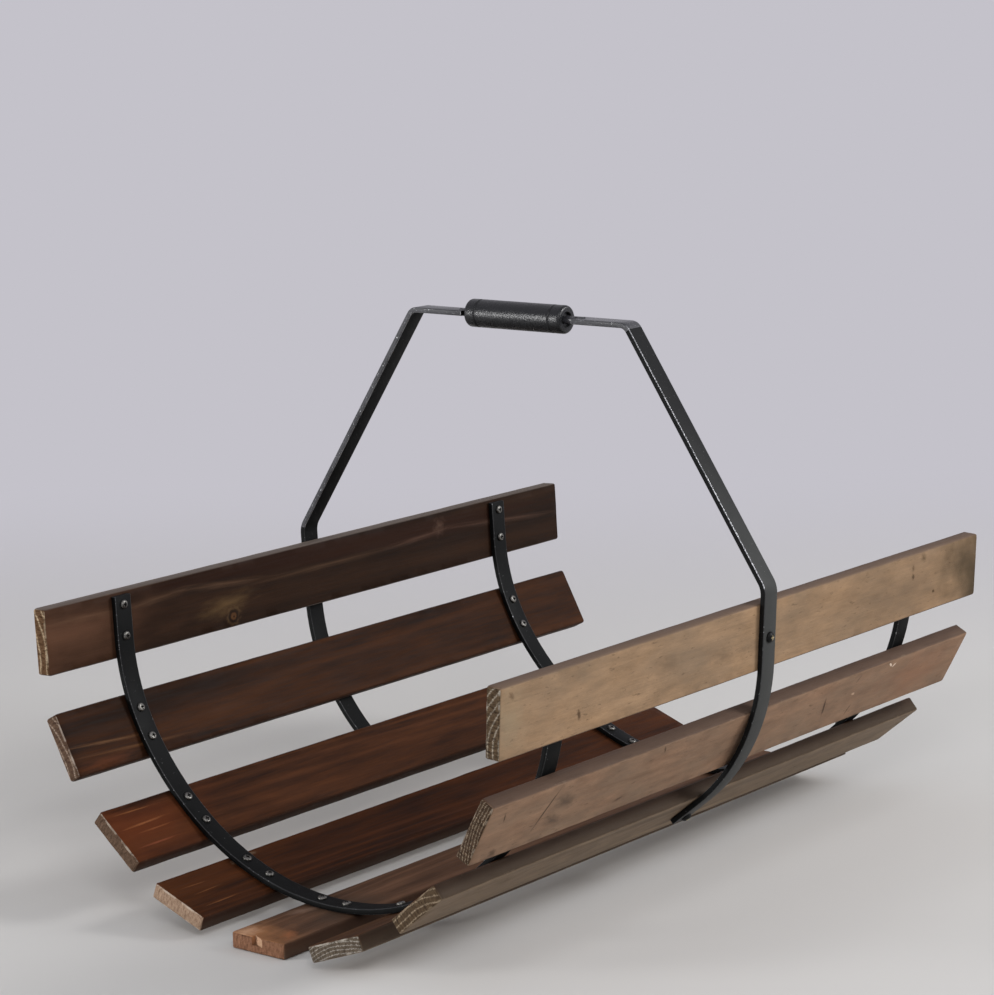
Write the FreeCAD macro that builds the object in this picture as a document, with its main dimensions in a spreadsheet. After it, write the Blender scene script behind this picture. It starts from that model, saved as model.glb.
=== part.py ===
"""Firewood rack: nine wooden slats on two bent inner ribs, carried by a flat-bar bow with a turning grip.

Millimetres, +Z up. X runs along the slats and Y across the cradle, with the left side at +Y.
The origin is on the floor, under the middle of the bottom slat.
"""
import FreeCAD
import Part
import Sketcher

import math
import os

# Driving dimensions, one cell each. Turns are in degrees.
SIZES = {
    "slat_length": 600,
    "slat_width": 49,
    "slat_thick": 12,
    "slat_ease": 0.8,
    "bar_width": 16,
    "bar_thick": 4,
    # Fits: how far each bar stands off the wood, and a screw's head off its bar.
    "rib_gap": 0.05,
    "bow_gap": 0.15,
    "head_gap": 0.05,
    # The arch of the slats' inner faces: a wide bed, tighter sides and leaning uprights.
    "bed_radius": 207,
    "side_radius": 148,
    "bed_turn": 57.5,
    "upright_turn": 87,
    "bottom_turn": 0,
    "lower_turn": 20.5,
    "middle_turn": 39.5,
    "upper_turn": 62,
    "top_lift": 10,
    "rib_inset": 80,
    "rib_drop": 1.5,
    # The bow: two bent arms, screwed to the outside of the top and middle slats.
    "bow_shift": 4.5,
    "bow_lap": 5,
    "bow_tail": 8,
    "knee_rise": 11,
    "knee_radius": 16,
    "handle_height": 401.5,
    "handle_half": 98,
    "handle_radius": 8,
    # The grip, which turns on a rod let into the ends of the two arms.
    "grip_length": 88,
    "grip_diameter": 21,
    "grip_round": 4,
    "grip_play": 6.5,
    "grip_slide": 2.5,
    "ring_inset": 10,
    "ring_width": 1.2,
    "ring_depth": 0.7,
    "mouth_diameter": 11,
    "mouth_depth": 2.5,
    "rod_diameter": 6,
    "rod_lap": 6,
    "rod_gap": 0.05,
    "running_clear": 0.08,
    # Screws, and the holes that they pass through or bite into, drawn with few sides as there are many.
    "rib_head": 6.5,
    "rib_head_rise": 2,
    "rib_crown": 3.9,
    "rib_shank": 3.2,
    "rib_screw_pitch": 23,
    "top_screw_lift": 3.5,
    "bow_head": 8.2,
    "bow_head_rise": 2.8,
    "bow_crown": 4.4,
    "bow_shank": 4,
    "head_brim": 0.8,
    "screw_bite": 9,
    "head_sides": 12,
    "shank_sides": 8,
    "bar_hole_clear": 0.25,
    "wood_hole_clear": 0.05,
    "hole_spare": 0.5,
}

# Rows of slats from the bottom up, and how far each slat was set along X when it was screwed down.
LEFT, RIGHT = 1, -1
SLATS = {
    "bottom_slat": ("bottom", LEFT, 0),
    "left_lower_slat": ("lower", LEFT, 0.6),
    "left_middle_slat": ("middle", LEFT, 3.9),
    "left_upper_slat": ("upper", LEFT, 4.9),
    "left_top_slat": ("top", LEFT, 5.9),
    "right_lower_slat": ("lower", RIGHT, -5.9),
    "right_middle_slat": ("middle", RIGHT, 5.8),
    "right_upper_slat": ("upper", RIGHT, 5.3),
    "right_top_slat": ("top", RIGHT, 3.1),
}
BOW_ROWS = ("top", "middle")
RIBS = {"near_rib": -1, "far_rib": 1}

doc = FreeCAD.newDocument("FirewoodRack")
sheet = doc.addObject("Spreadsheet::Sheet", "sizes")
sub_parts = []


# The sheet

def add_cells(contents):
    """Adds numbers or formulas to the sheet, each under its alias."""
    for alias, content in contents.items():
        row = len(sheet.getUsedCells()) // 2 + 1
        sheet.set(f"A{row}", alias)
        sheet.set(f"B{row}", str(content))
        sheet.setAlias(f"B{row}", alias)
    doc.recompute()


def value(expression):
    """The present value of an expression over the sheet."""
    return float(sheet.evalExpression(str(expression)))


def add_arch_place(name, turn):
    """Cells for the point of the arch where it has turned so far from level."""
    on_bed = f"{turn} <= bed_turn"
    radius = f"({on_bed} ? bed_radius : side_radius)"
    add_cells({
        f"{name}_turn": f"={turn}",
        f"{name}_y": f"=({on_bed} ? 0 : side_centre_y) + {radius} * sin({turn})",
        f"{name}_z": f"=({on_bed} ? bed_centre_z : side_centre_z) - {radius} * cos({turn})",
    })


def add_upright_place(name, rise):
    """Cells for a point of the straight upright, a rise above its foot."""
    add_cells({
        f"{name}_turn": "=upright_turn",
        f"{name}_y": f"=foot_y + ({rise}) * cos(upright_turn)",
        f"{name}_z": f"=foot_z + ({rise}) * sin(upright_turn)",
    })


def add_arch_cells():
    """Places of the ribs along the slats, and of the slats and their rib screws on the arch."""
    add_cells({
        "rib_offset": "=slat_length / 2 - rib_inset",
        "bed_centre_z": "=slat_thick + bed_radius",
        "side_centre_y": "=(bed_radius - side_radius) * sin(bed_turn)",
        "side_centre_z": "=bed_centre_z - (bed_radius - side_radius) * cos(bed_turn)",
    })
    add_arch_place("foot", "upright_turn")
    for row in ("bottom", "lower", "middle", "upper"):
        turn = f"{row}_turn"
        add_arch_place(f"{row}_row", turn)
        radius = f"({turn} <= bed_turn ? bed_radius : side_radius)"
        half_pitch = f"rib_screw_pitch / 2 / {radius} * 180 / pi"
        add_arch_place(f"{row}_low_screw", f"({turn} - {half_pitch})")
        add_arch_place(f"{row}_high_screw", f"({turn} + {half_pitch})")
    add_upright_place("top_row", "top_lift")
    add_upright_place("top_low_screw", "top_lift + top_screw_lift - rib_screw_pitch / 2")
    add_upright_place("top_high_screw", "top_lift + top_screw_lift + rib_screw_pitch / 2")


def add_bow_cells():
    """Corners of the bow's centre line, which lies flat on the top and the middle slats."""
    out = "(slat_thick + bow_gap + bar_thick / 2)"
    for row in BOW_ROWS:
        add_cells({
            f"{row}_out_y": f"={row}_row_y + {out} * sin({row}_row_turn)",
            f"{row}_out_z": f"={row}_row_z - {out} * cos({row}_row_turn)",
        })
    add_cells({
        "bend_turn": "=upright_turn - middle_turn",
        "span_y": "=top_out_y - middle_out_y",
        "span_z": "=top_out_z - middle_out_z",
        "top_reach": "=(span_z * cos(middle_turn) - span_y * sin(middle_turn)) / sin(bend_turn)",
        "middle_reach": "=(span_y * sin(upright_turn) - span_z * cos(upright_turn)) / sin(bend_turn)",
        "bend_reach": "=min(top_reach; middle_reach) - slat_width / 2 + bow_lap",
        "bow_radius": "=bend_reach / tan(bend_turn / 2)",
        "bend_y": "=middle_out_y + middle_reach * cos(middle_turn)",
        "bend_z": "=middle_out_z + middle_reach * sin(middle_turn)",
        "tail_y": "=middle_out_y - bow_tail * cos(middle_turn)",
        "tail_z": "=middle_out_z - bow_tail * sin(middle_turn)",
        "knee_y": "=top_out_y + (slat_width / 2 + knee_rise) * cos(upright_turn)",
        "knee_z": "=top_out_z + (slat_width / 2 + knee_rise) * sin(upright_turn)",
        "arm_end": "=grip_length / 2 + grip_play",
    })


# Helpers for objects that follow the sheet

def bind(target, prop, expression):
    target.setExpression(prop, str(expression))


def place(target, x, y, z, turn=0):
    """Ties an object's place to the sheet: a point, and a turn about X in degrees."""
    spot = f"vector({x}; {y}; {z})"
    bind(target, "Placement", f"placement({spot}; rotation(vector(1; 0; 0); {turn}))")


def add_body(name):
    return doc.addObject("PartDesign::Body", name)


def origin_plane(body, role):
    return next(item for item in body.Origin.OriginFeatures if item.Role == role)


def add_sketch(body, name, role):
    sketch = body.newObject("Sketcher::SketchObject", name)
    sketch.AttachmentSupport = [(origin_plane(body, role), "")]
    sketch.MapMode = "FlatFace"
    return sketch


def constrain(sketch, kind, *arguments, expression=None):
    """Adds a constraint, bound to the sheet where it has an expression."""
    if expression is not None:
        arguments = arguments + (value(expression),)
    index = sketch.addConstraint(Sketcher.Constraint(kind, *arguments))
    if expression is not None:
        bind(sketch, f"Constraints[{index}]", expression)


# How a sketch numbers its axes, its origin and the points of a line or an arc.
ACROSS_AXIS, UP_AXIS = -1, -2
START, END, CENTRE = range(1, 4)
ORIGIN = (ACROSS_AXIS, START)


def pin(sketch, geometry, position, spot):
    """Fixes a point of a sketch at a pair of expressions."""
    for kind, axis, expression in (("DistanceX", UP_AXIS, spot[0]), ("DistanceY", ACROSS_AXIS, spot[1])):
        if expression == "0":
            constrain(sketch, "PointOnObject", geometry, position, axis)
        else:
            constrain(sketch, kind, *ORIGIN, geometry, position, expression=expression)


def point(spot):
    return FreeCAD.Vector(value(spot[0]), value(spot[1]), 0)


def draw_outline(sketch, spots):
    """Draws a closed outline of straight lines through pinned points."""
    count = len(spots)
    for index, spot in enumerate(spots):
        following = spots[(index + 1) % count]
        sketch.addGeometry(Part.LineSegment(point(spot), point(following)), False)
    for index, spot in enumerate(spots):
        constrain(sketch, "Coincident", index, END, (index + 1) % count, START)
        pin(sketch, index, START, spot)


def draw_bent_path(sketch, corners, radii):
    """Draws straight runs between corners, with a tangent arc of its own radius at each bend."""
    ends = [point(corners[0])]
    arcs = []
    for before, corner, after, radius in zip(corners, corners[1:], corners[2:], radii):
        bend = point(corner)
        back = (point(before) - bend).normalize()
        ahead = (point(after) - bend).normalize()
        half = back.getAngle(ahead) / 2
        reach = value(radius) / math.tan(half)
        centre = bend + (back + ahead).normalize() * (value(radius) / math.sin(half))
        middle = centre + (bend - centre).normalize() * value(radius)
        ends += [bend + back * reach, bend + ahead * reach]
        arcs.append(middle)
    ends.append(point(corners[-1]))
    runs = [sketch.addGeometry(Part.LineSegment(*ends[index:index + 2]), False)
            for index in range(0, len(ends), 2)]
    pin(sketch, runs[0], START, corners[0])
    pin(sketch, runs[-1], END, corners[-1])
    for index, middle in enumerate(arcs):
        first, last = ends[2 * index + 1:2 * index + 3]
        arc = sketch.addGeometry(Part.Arc(first, middle, last), False)
        near, far = arc_ends(sketch, arc, first)
        constrain(sketch, "Tangent", runs[index], END, arc, near)
        constrain(sketch, "Tangent", arc, far, runs[index + 1], START)
        constrain(sketch, "Radius", arc, expression=radii[index])
        mark = sketch.addGeometry(Part.Point(point(corners[index + 1])), True)
        pin(sketch, mark, START, corners[index + 1])
        constrain(sketch, "PointOnObject", mark, START, runs[index])
        constrain(sketch, "PointOnObject", mark, START, runs[index + 1])


def arc_ends(sketch, arc, first):
    """Which end of an arc lies at a point, and which is the other: arcs are stored anticlockwise."""
    if sketch.getPoint(arc, START).isEqual(first, 1e-6):
        return START, END
    return END, START


def add_pad_below(body, sketch, depth):
    pad = body.newObject("PartDesign::Pad", f"{body.Name}_pad")
    pad.Profile = sketch
    pad.Reversed = True
    bind(pad, "Length", depth)
    return pad


def add_revolution(body, sketch, axis):
    revolution = body.newObject("PartDesign::Revolution", f"{body.Name}_turned")
    revolution.Profile = sketch
    revolution.ReferenceAxis = (sketch, [axis])
    revolution.Angle = 360
    return revolution


def add_fillet(body, base, radius, edges):
    fillet = body.newObject("PartDesign::Fillet", f"{body.Name}_round")
    fillet.Base = (base, edges)
    bind(fillet, "Radius", radius)


def add_chamfer(body, base, size):
    """Eases every edge of a feature."""
    chamfer = body.newObject("PartDesign::Chamfer", f"{body.Name}_ease")
    chamfer.Base = (base, [""])
    chamfer.UseAllEdges = True
    bind(chamfer, "Size", size)


def shoulder_edges(shape, radius, offset):
    """Names of the circular edges of one radius that lie at an offset along Y, on either side."""
    names = []
    for index, edge in enumerate(shape.Edges, start=1):
        circle = edge.Curve
        if isinstance(circle, Part.Circle) and math.isclose(circle.Radius, radius, abs_tol=1e-6):
            if math.isclose(abs(circle.Center.y), offset, abs_tol=1e-6):
                names.append(f"Edge{index}")
    return names


def add_pipe(body, profile, path):
    pipe = body.newObject("PartDesign::AdditivePipe", f"{body.Name}_pipe")
    pipe.Profile = profile
    pipe.Spine = path
    return pipe


def add_copy(source, name):
    copy = doc.addObject("App::Link", name)
    copy.LinkedObject = source
    return copy


def add_group(name, members):
    group = doc.addObject("Part::Compound", name)
    group.Links = members
    return group


def add_cut(name, base, tools):
    """Takes tools out of a base, and checks that they met it."""
    cut = doc.addObject("Part::Cut", name)
    cut.Base = base
    cut.Tool = add_group(f"{name}_tools", tools)
    doc.recompute()
    if cut.Shape.Volume >= base.Shape.Volume:
        raise RuntimeError(f"{name}: nothing was cut")
    return cut


def keep(shape_object, label):
    """Lists an object as a sub-part under its own name."""
    shape_object.Label = label
    sub_parts.append(shape_object)


# Screws

def bar_stack(kind):
    """From under a screw's head to the wood: the bar, and the gaps at both its faces."""
    return f"(sizes.bar_thick + sizes.{kind}_gap + sizes.head_gap)"


def add_prism(name, radius, low, high):
    """A many-sided bar along Z, such as a screw's shank or the hole for it."""
    prism = doc.addObject("Part::Prism", name)
    bind(prism, "Polygon", "sizes.shank_sides")
    bind(prism, "Circumradius", radius)
    bind(prism, "Height", f"{high} - ({low})")
    place(prism, 0, 0, low)
    return prism


def add_head(kind):
    """A screw's head: a short brim under a crown that narrows towards the top."""
    rings = []
    for level, width, height in (("under", "head", "0"), ("brim", "head", "sizes.head_brim"),
                                 ("crown", "crown", f"sizes.{kind}_head_rise")):
        ring = doc.addObject("Part::RegularPolygon", f"{kind}_{level}_ring")
        bind(ring, "Polygon", "sizes.head_sides")
        bind(ring, "Circumradius", f"sizes.{kind}_{width} / 2")
        place(ring, 0, 0, height)
        rings.append(ring)
    head = doc.addObject("Part::Loft", f"{kind}_screw_head")
    head.Sections = rings
    head.Solid = True
    head.Ruled = True
    return head


def add_screw(kind):
    """A wood screw along -Z, with the underside of its head at the origin."""
    length = f"({bar_stack(kind)} + sizes.screw_bite)"
    shank = add_prism(f"{kind}_screw_shank", f"sizes.{kind}_shank / 2", f"-{length}", "0")
    screw = doc.addObject("Part::MultiFuse", f"{kind}_screw")
    screw.Shapes = [add_head(kind), shank]
    return screw


def add_hole(kind):
    """The stepped hole for a screw: clear in the bar, tight in the wood."""
    stack = bar_stack(kind)
    depth = f"({stack} + sizes.screw_bite + sizes.hole_spare)"
    in_bar = add_prism(f"{kind}_bar_hole", f"sizes.{kind}_shank / 2 + sizes.bar_hole_clear",
                       f"-{stack}", "sizes.hole_spare")
    in_wood = add_prism(f"{kind}_wood_hole", f"sizes.{kind}_shank / 2 + sizes.wood_hole_clear",
                        f"-{depth}", f"-{stack}")
    hole = doc.addObject("Part::MultiFuse", f"{kind}_hole")
    hole.Shapes = [in_bar, in_wood]
    return hole


def add_at_rib_screw(source, name, row, level, side, rib):
    """A copy of a screw or its hole, seated on a rib's inner face and pointing out through a slat."""
    spot = f"sizes.{row}_{level}_screw"
    turn = f"{spot}_turn"
    stack = bar_stack("rib")
    copy = add_copy(source, name)
    place(copy, f"{rib} * sizes.rib_offset",
          f"{side} * ({spot}_y - {stack} * sin({turn}))",
          f"{spot}_z + {stack} * cos({turn})",
          f"{side} * {turn}")
    return copy


def add_at_bow_screw(source, name, row, side):
    """A copy of a screw or its hole, seated on a bow arm's outer face and pointing in through a slat."""
    spot = f"sizes.{row}_row"
    turn = f"{spot}_turn"
    out = f"(sizes.slat_thick + {bar_stack('bow')})"
    copy = add_copy(source, name)
    place(copy, "sizes.bow_shift",
          f"{side} * ({spot}_y + {out} * sin({turn}))",
          f"{spot}_z - {out} * cos({turn})",
          f"180 + {side} * {turn}")
    return copy


def add_all_at_ribs(source, word):
    """Copies at every rib screw, keyed by the slat and the rib that it joins."""
    copies = {}
    for slat, (row, side, shift) in SLATS.items():
        for rib, way in RIBS.items():
            copies[slat, rib] = [
                add_at_rib_screw(source, f"{slat}_{rib}_{level}_{word}", row, level, side, way)
                for level in ("low", "high")
            ]
    return copies


def add_all_at_bow(source, word):
    """Copies at every bow screw, keyed by the slat that it bites into."""
    return {
        slat: add_at_bow_screw(source, f"{slat}_bow_{word}", row, side)
        for slat, (row, side, shift) in SLATS.items() if row in BOW_ROWS
    }


# Wooden slats

def add_slat_blank(name, row, side, shift):
    """A planed slat with eased edges, its inner face on the arch."""
    body = add_body(f"{name}_blank")
    sketch = add_sketch(body, f"{name}_face", "XY_Plane")
    half_length = "sizes.slat_length / 2"
    half_width = "sizes.slat_width / 2"
    draw_outline(sketch, [
        (f"-{half_length}", f"-{half_width}"), (half_length, f"-{half_width}"),
        (half_length, half_width), (f"-{half_length}", half_width),
    ])
    pad = add_pad_below(body, sketch, "sizes.slat_thick")
    doc.recompute()
    add_chamfer(body, pad, "sizes.slat_ease")
    spot = f"sizes.{row}_row"
    place(body, shift, f"{side} * {spot}_y", f"{spot}_z", f"{side} * {spot}_turn")
    doc.recompute()
    return body


def add_slats(rib_holes, bow_holes):
    for name, (row, side, shift) in SLATS.items():
        blank = add_slat_blank(name, row, side, shift)
        holes = rib_holes[name, "near_rib"] + rib_holes[name, "far_rib"]
        if name in bow_holes:
            holes.append(bow_holes[name])
        keep(add_cut(name, blank, holes), name)


# Flat-bar ribs

def draw_rib_path(sketch):
    """The centre line of half a rib: bed arc, side arc and upright, all tangent."""
    inset = "(sizes.rib_gap + sizes.bar_thick / 2)"
    bed = f"(sizes.bed_radius - {inset})"
    side = f"(sizes.side_radius - {inset})"
    rise = "(sizes.top_lift + sizes.slat_width / 2 - sizes.rib_drop)"
    bed_centre = FreeCAD.Vector(0, value("sizes.bed_centre_z"), 0)
    side_centre = point(("sizes.side_centre_y", "sizes.side_centre_z"))
    level = -math.pi / 2
    bed_end = level + math.radians(value("sizes.bed_turn"))
    lean = math.radians(value("sizes.upright_turn"))
    arcs = [
        (bed_centre, value(bed), level, bed_end),
        (side_centre, value(side), bed_end, level + lean),
    ]
    for centre, radius, first, last in arcs:
        circle = Part.Circle(centre, FreeCAD.Vector(0, 0, 1), radius)
        sketch.addGeometry(Part.ArcOfCircle(circle, first, last), False)
    foot = sketch.getPoint(1, END)
    top = foot + FreeCAD.Vector(math.cos(lean), math.sin(lean), 0) * value(rise)
    sketch.addGeometry(Part.LineSegment(foot, top), False)
    pin(sketch, 0, CENTRE, ("0", "sizes.bed_centre_z"))
    constrain(sketch, "PointOnObject", 0, START, UP_AXIS)
    constrain(sketch, "Radius", 0, expression=bed)
    constrain(sketch, "DistanceX", *ORIGIN, 0, END, expression=f"{bed} * sin(sizes.bed_turn)")
    constrain(sketch, "Tangent", 0, END, 1, START)
    constrain(sketch, "Radius", 1, expression=side)
    constrain(sketch, "Tangent", 1, END, 2, START)
    constrain(sketch, "DistanceX", 2, START, 2, END, expression=f"{rise} * cos(sizes.upright_turn)")
    constrain(sketch, "DistanceY", 2, START, 2, END, expression=f"{rise} * sin(sizes.upright_turn)")


def draw_bar_section(sketch, height):
    """The flat bar's section, centred at a height."""
    half_width = "sizes.bar_width / 2"
    low = f"{height} - sizes.bar_thick / 2"
    high = f"{height} + sizes.bar_thick / 2"
    draw_outline(sketch, [
        (f"-{half_width}", low), (half_width, low), (half_width, high), (f"-{half_width}", high),
    ])


def add_rib(name, way, holes):
    """A flat bar bent to the arch, mirrored about the middle of the cradle."""
    body = add_body(f"{name}_blank")
    path = add_sketch(body, f"{name}_path", "YZ_Plane")
    draw_rib_path(path)
    section = add_sketch(body, f"{name}_section", "XZ_Plane")
    draw_bar_section(section, "(sizes.slat_thick + sizes.rib_gap + sizes.bar_thick / 2)")
    doc.recompute()
    pipe = add_pipe(body, section, path)
    doc.recompute()
    mirrored = body.newObject("PartDesign::Mirrored", f"{name}_mirrored")
    mirrored.Originals = [pipe]
    mirrored.MirrorPlane = (origin_plane(body, "XZ_Plane"), [""])
    body.Tip = mirrored
    place(body, f"{way} * sizes.rib_offset", 0, 0)
    doc.recompute()
    keep(add_cut(name, body, holes), name)


def add_ribs(rib_holes):
    for name, way in RIBS.items():
        holes = [hole for (slat, rib), pair in rib_holes.items() if rib == name for hole in pair]
        add_rib(name, way, holes)


# The bow and its turning grip

def add_rod_cylinder(name, radius, half_length):
    """A cylinder on the handle's axis, across the cradle."""
    rod = doc.addObject("Part::Cylinder", name)
    bind(rod, "Radius", radius)
    bind(rod, "Height", f"2 * {half_length}")
    place(rod, "sizes.bow_shift", f"-{half_length}", "sizes.handle_height", -90)
    return rod


def add_bow_arms(bow_holes):
    """A flat bar bent from the handle over the knee and round to the middle slat, and its mirror image."""
    body = add_body("bow_arm_blank")
    path = add_sketch(body, "bow_arm_path", "YZ_Plane")
    draw_bent_path(path, [
        ("sizes.arm_end", "sizes.handle_height"),
        ("sizes.handle_half", "sizes.handle_height"),
        ("sizes.knee_y", "sizes.knee_z"),
        ("sizes.bend_y", "sizes.bend_z"),
        ("sizes.tail_y", "sizes.tail_z"),
    ], ["sizes.handle_radius", "sizes.knee_radius", "sizes.bow_radius"])
    section = add_sketch(body, "bow_arm_section", "XZ_Plane")
    bind(section, "AttachmentOffset", "placement(vector(0; 0; -sizes.arm_end); rotation(vector(0; 0; 1); 0))")
    draw_bar_section(section, "sizes.handle_height")
    doc.recompute()
    add_pipe(body, section, path)
    place(body, "sizes.bow_shift", 0, 0)
    socket = add_rod_cylinder("rod_socket", "sizes.rod_diameter / 2 + sizes.rod_gap",
                              "(sizes.arm_end + sizes.rod_lap + sizes.rod_gap)")
    doc.recompute()
    holes = [bow_holes[f"left_{row}_slat"] for row in BOW_ROWS]
    left_arm = add_cut("left_bow_arm", body, [socket] + holes)
    right_arm = doc.addObject("Part::Mirroring", "right_bow_arm")
    right_arm.Source = left_arm
    right_arm.Normal = (0, 1, 0)
    keep(left_arm, "left_bow_arm")
    keep(right_arm, "right_bow_arm")


def add_handle_rod():
    rod = add_rod_cylinder("handle_rod", "sizes.rod_diameter / 2", "(sizes.arm_end + sizes.rod_lap)")
    keep(rod, "handle_rod")


def add_grip():
    """The turned grip: a bored cylinder with round shoulders, a ring near each end and open mouths."""
    body = add_body("grip_turning")
    sketch = add_sketch(body, "grip_profile", "YZ_Plane")
    end = "sizes.grip_length / 2"
    outer = "sizes.grip_diameter / 2"
    bore = "sizes.rod_diameter / 2 + sizes.running_clear"
    mouth = "sizes.mouth_diameter / 2"
    floor = f"{outer} - sizes.ring_depth"
    ring_near = f"({end} - sizes.ring_inset - sizes.ring_width / 2)"
    ring_far = f"({end} - sizes.ring_inset + sizes.ring_width / 2)"
    half = [
        (ring_near, outer), (ring_near, floor), (ring_far, floor), (ring_far, outer),
        (end, outer), (end, mouth),
        (f"({end} - sizes.mouth_depth)", mouth), (f"({end} - sizes.mouth_depth)", bore),
    ]
    mirrored = [(f"-{along}", out) for along, out in reversed(half)]
    draw_outline(sketch, half + mirrored)
    turned = add_revolution(body, sketch, "H_Axis")
    doc.recompute()
    shoulders = shoulder_edges(turned.Shape, value(outer), value(end))
    add_fillet(body, turned, "sizes.grip_round", shoulders)
    place(body, "sizes.bow_shift", "sizes.grip_slide", "sizes.handle_height")
    keep(body, "grip")


def add_screw_groups(rib_screws, bow_screws):
    """Each slat's rib screws, and each side's bow screws, as one group of separate screws."""
    for name in SLATS:
        members = rib_screws[name, "near_rib"] + rib_screws[name, "far_rib"]
        keep(add_group(f"{name}_screws", members), f"{name}_screws")
    for side in ("left", "right"):
        members = [bow_screws[f"{side}_{row}_slat"] for row in BOW_ROWS]
        keep(add_group(f"{side}_bow_screws", members), f"{side}_bow_screws")


# Checking and writing

def check_model():
    """Stops where an object failed or a sub-part has no sound shape."""
    for item in doc.Objects:
        if "Invalid" in item.State or "Error" in item.State:
            raise RuntimeError(f"{item.Label}: {item.State}")
    for item in sub_parts:
        if item.Shape.isNull() or not item.Shape.isValid():
            raise RuntimeError(f"{item.Label}: no sound shape")


def write_sub_parts():
    os.makedirs("parts", exist_ok=True)
    for item in sub_parts:
        item.Shape.exportStep(f"parts/{item.Label}.step")


def main():
    add_cells(SIZES)
    add_arch_cells()
    add_bow_cells()
    rib_screw = add_screw("rib")
    bow_screw = add_screw("bow")
    rib_holes = add_all_at_ribs(add_hole("rib"), "hole")
    bow_holes = add_all_at_bow(add_hole("bow"), "hole")
    doc.recompute()
    add_slats(rib_holes, bow_holes)
    add_ribs(rib_holes)
    add_bow_arms(bow_holes)
    add_handle_rod()
    add_grip()
    add_screw_groups(add_all_at_ribs(rib_screw, "screw"), add_all_at_bow(bow_screw, "screw"))
    doc.recompute()
    check_model()
    write_sub_parts()


main()
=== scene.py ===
# %% [markdown]
# # A firewood rack that is carried by hand
# Nine stained slats lie side by side in an arch. Two bent flat bars hold them from inside, and a bow of
# the same bar goes up outside them to a round grip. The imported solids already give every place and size,
# so this lesson models what they leave plain: the worn wood, the rounded bar, the paint and the screws.

import math
from collections import namedtuple

import bmesh
import bpy
from mathutils import Matrix, Vector


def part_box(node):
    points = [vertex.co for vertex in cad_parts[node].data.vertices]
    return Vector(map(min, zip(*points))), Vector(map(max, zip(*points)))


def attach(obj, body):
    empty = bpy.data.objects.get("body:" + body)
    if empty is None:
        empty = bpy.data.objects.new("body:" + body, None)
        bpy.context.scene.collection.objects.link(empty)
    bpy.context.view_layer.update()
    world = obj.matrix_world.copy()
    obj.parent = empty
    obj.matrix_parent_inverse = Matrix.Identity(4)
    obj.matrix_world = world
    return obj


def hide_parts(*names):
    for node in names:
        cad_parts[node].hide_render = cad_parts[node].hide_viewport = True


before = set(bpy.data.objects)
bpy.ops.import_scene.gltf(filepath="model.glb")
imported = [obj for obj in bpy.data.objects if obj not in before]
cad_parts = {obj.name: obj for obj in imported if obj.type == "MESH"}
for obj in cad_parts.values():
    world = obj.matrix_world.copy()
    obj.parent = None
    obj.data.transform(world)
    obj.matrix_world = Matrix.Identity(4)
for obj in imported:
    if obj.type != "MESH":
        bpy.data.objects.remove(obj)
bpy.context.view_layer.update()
MM = 0.001

# %% [markdown]
# ## Working by hand, in code
# Every piece starts as a primitive and is shaped in edit mode. An operator acts on all that is selected,
# so small helpers do what the mouse would do: open a piece with nothing selected, pick the vertices, edges
# or faces that pass a test of their place or direction, copy a piece, and put it where it belongs.

# %% Open a piece and pick from it
def choose(piece):
    """Selects one piece alone and makes it the active one."""
    bpy.ops.object.select_all(action="DESELECT")
    piece.select_set(True)
    bpy.context.view_layer.objects.active = piece


def open_piece(piece):
    """Opens a piece in edit mode with nothing selected."""
    choose(piece)
    bpy.ops.object.mode_set(mode="EDIT")
    bpy.ops.mesh.select_mode(type="VERT")
    bpy.ops.mesh.select_all(action="DESELECT")


def close_piece():
    """Goes back to object mode and hands over the piece that was open."""
    bpy.ops.object.mode_set(mode="OBJECT")
    return bpy.context.object


def pick(kind, passes):
    """Selects the open piece's VERT, EDGE or FACE items that pass a test."""
    bpy.ops.mesh.select_mode(type=kind)
    bpy.ops.mesh.select_all(action="DESELECT")
    mesh = bmesh.from_edit_mesh(bpy.context.object.data)
    for item in {"VERT": mesh.verts, "EDGE": mesh.edges, "FACE": mesh.faces}[kind]:
        if passes(item):
            item.select_set(True)
    mesh.select_flush_mode()
    bmesh.update_edit_mesh(bpy.context.object.data)


# %% Copy, place and finish a piece
def copy_of(piece, name):
    """Copies a finished piece, with a mesh of its own."""
    choose(piece)
    bpy.ops.object.duplicate(linked=False)
    copy = bpy.context.object
    copy.name = name
    return copy


def settle(piece, place, turn):
    """Turns a piece about X, moves it to its place, and keeps both in its mesh."""
    choose(piece)
    piece.rotation_euler = (turn, 0, 0)
    piece.location = place
    bpy.ops.object.transform_apply()


def press_in(piece, depth, grain, group=""):
    """Presses a piece's surface in by up to a depth, in clouds of a given size."""
    clouds = bpy.data.textures.new(f"{piece.name}_{grain}", "CLOUDS")
    clouds.noise_scale = grain
    clouds.noise_depth = 3
    press = piece.modifiers.new("press_in", "DISPLACE")
    press.texture = clouds
    press.strength = depth
    press.mid_level = 1
    press.vertex_group = group


def apply_all(piece, smooth_below=40):
    """Applies a piece's modifiers from first to last and smooths its edges below an angle in degrees."""
    choose(piece)
    for name in [modifier.name for modifier in piece.modifiers]:
        bpy.ops.object.modifier_apply(modifier=name)
    bpy.ops.object.shade_smooth_by_angle(angle=math.radians(smooth_below))


def combine(piece, tool, operation):
    """Joins a tool to a piece with UNION or cuts it out with DIFFERENCE, and clears the tool away."""
    boolean = piece.modifiers.new("combine", "BOOLEAN")
    boolean.operation = operation
    boolean.object = tool
    apply_all(piece)
    bpy.data.objects.remove(tool)


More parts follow.
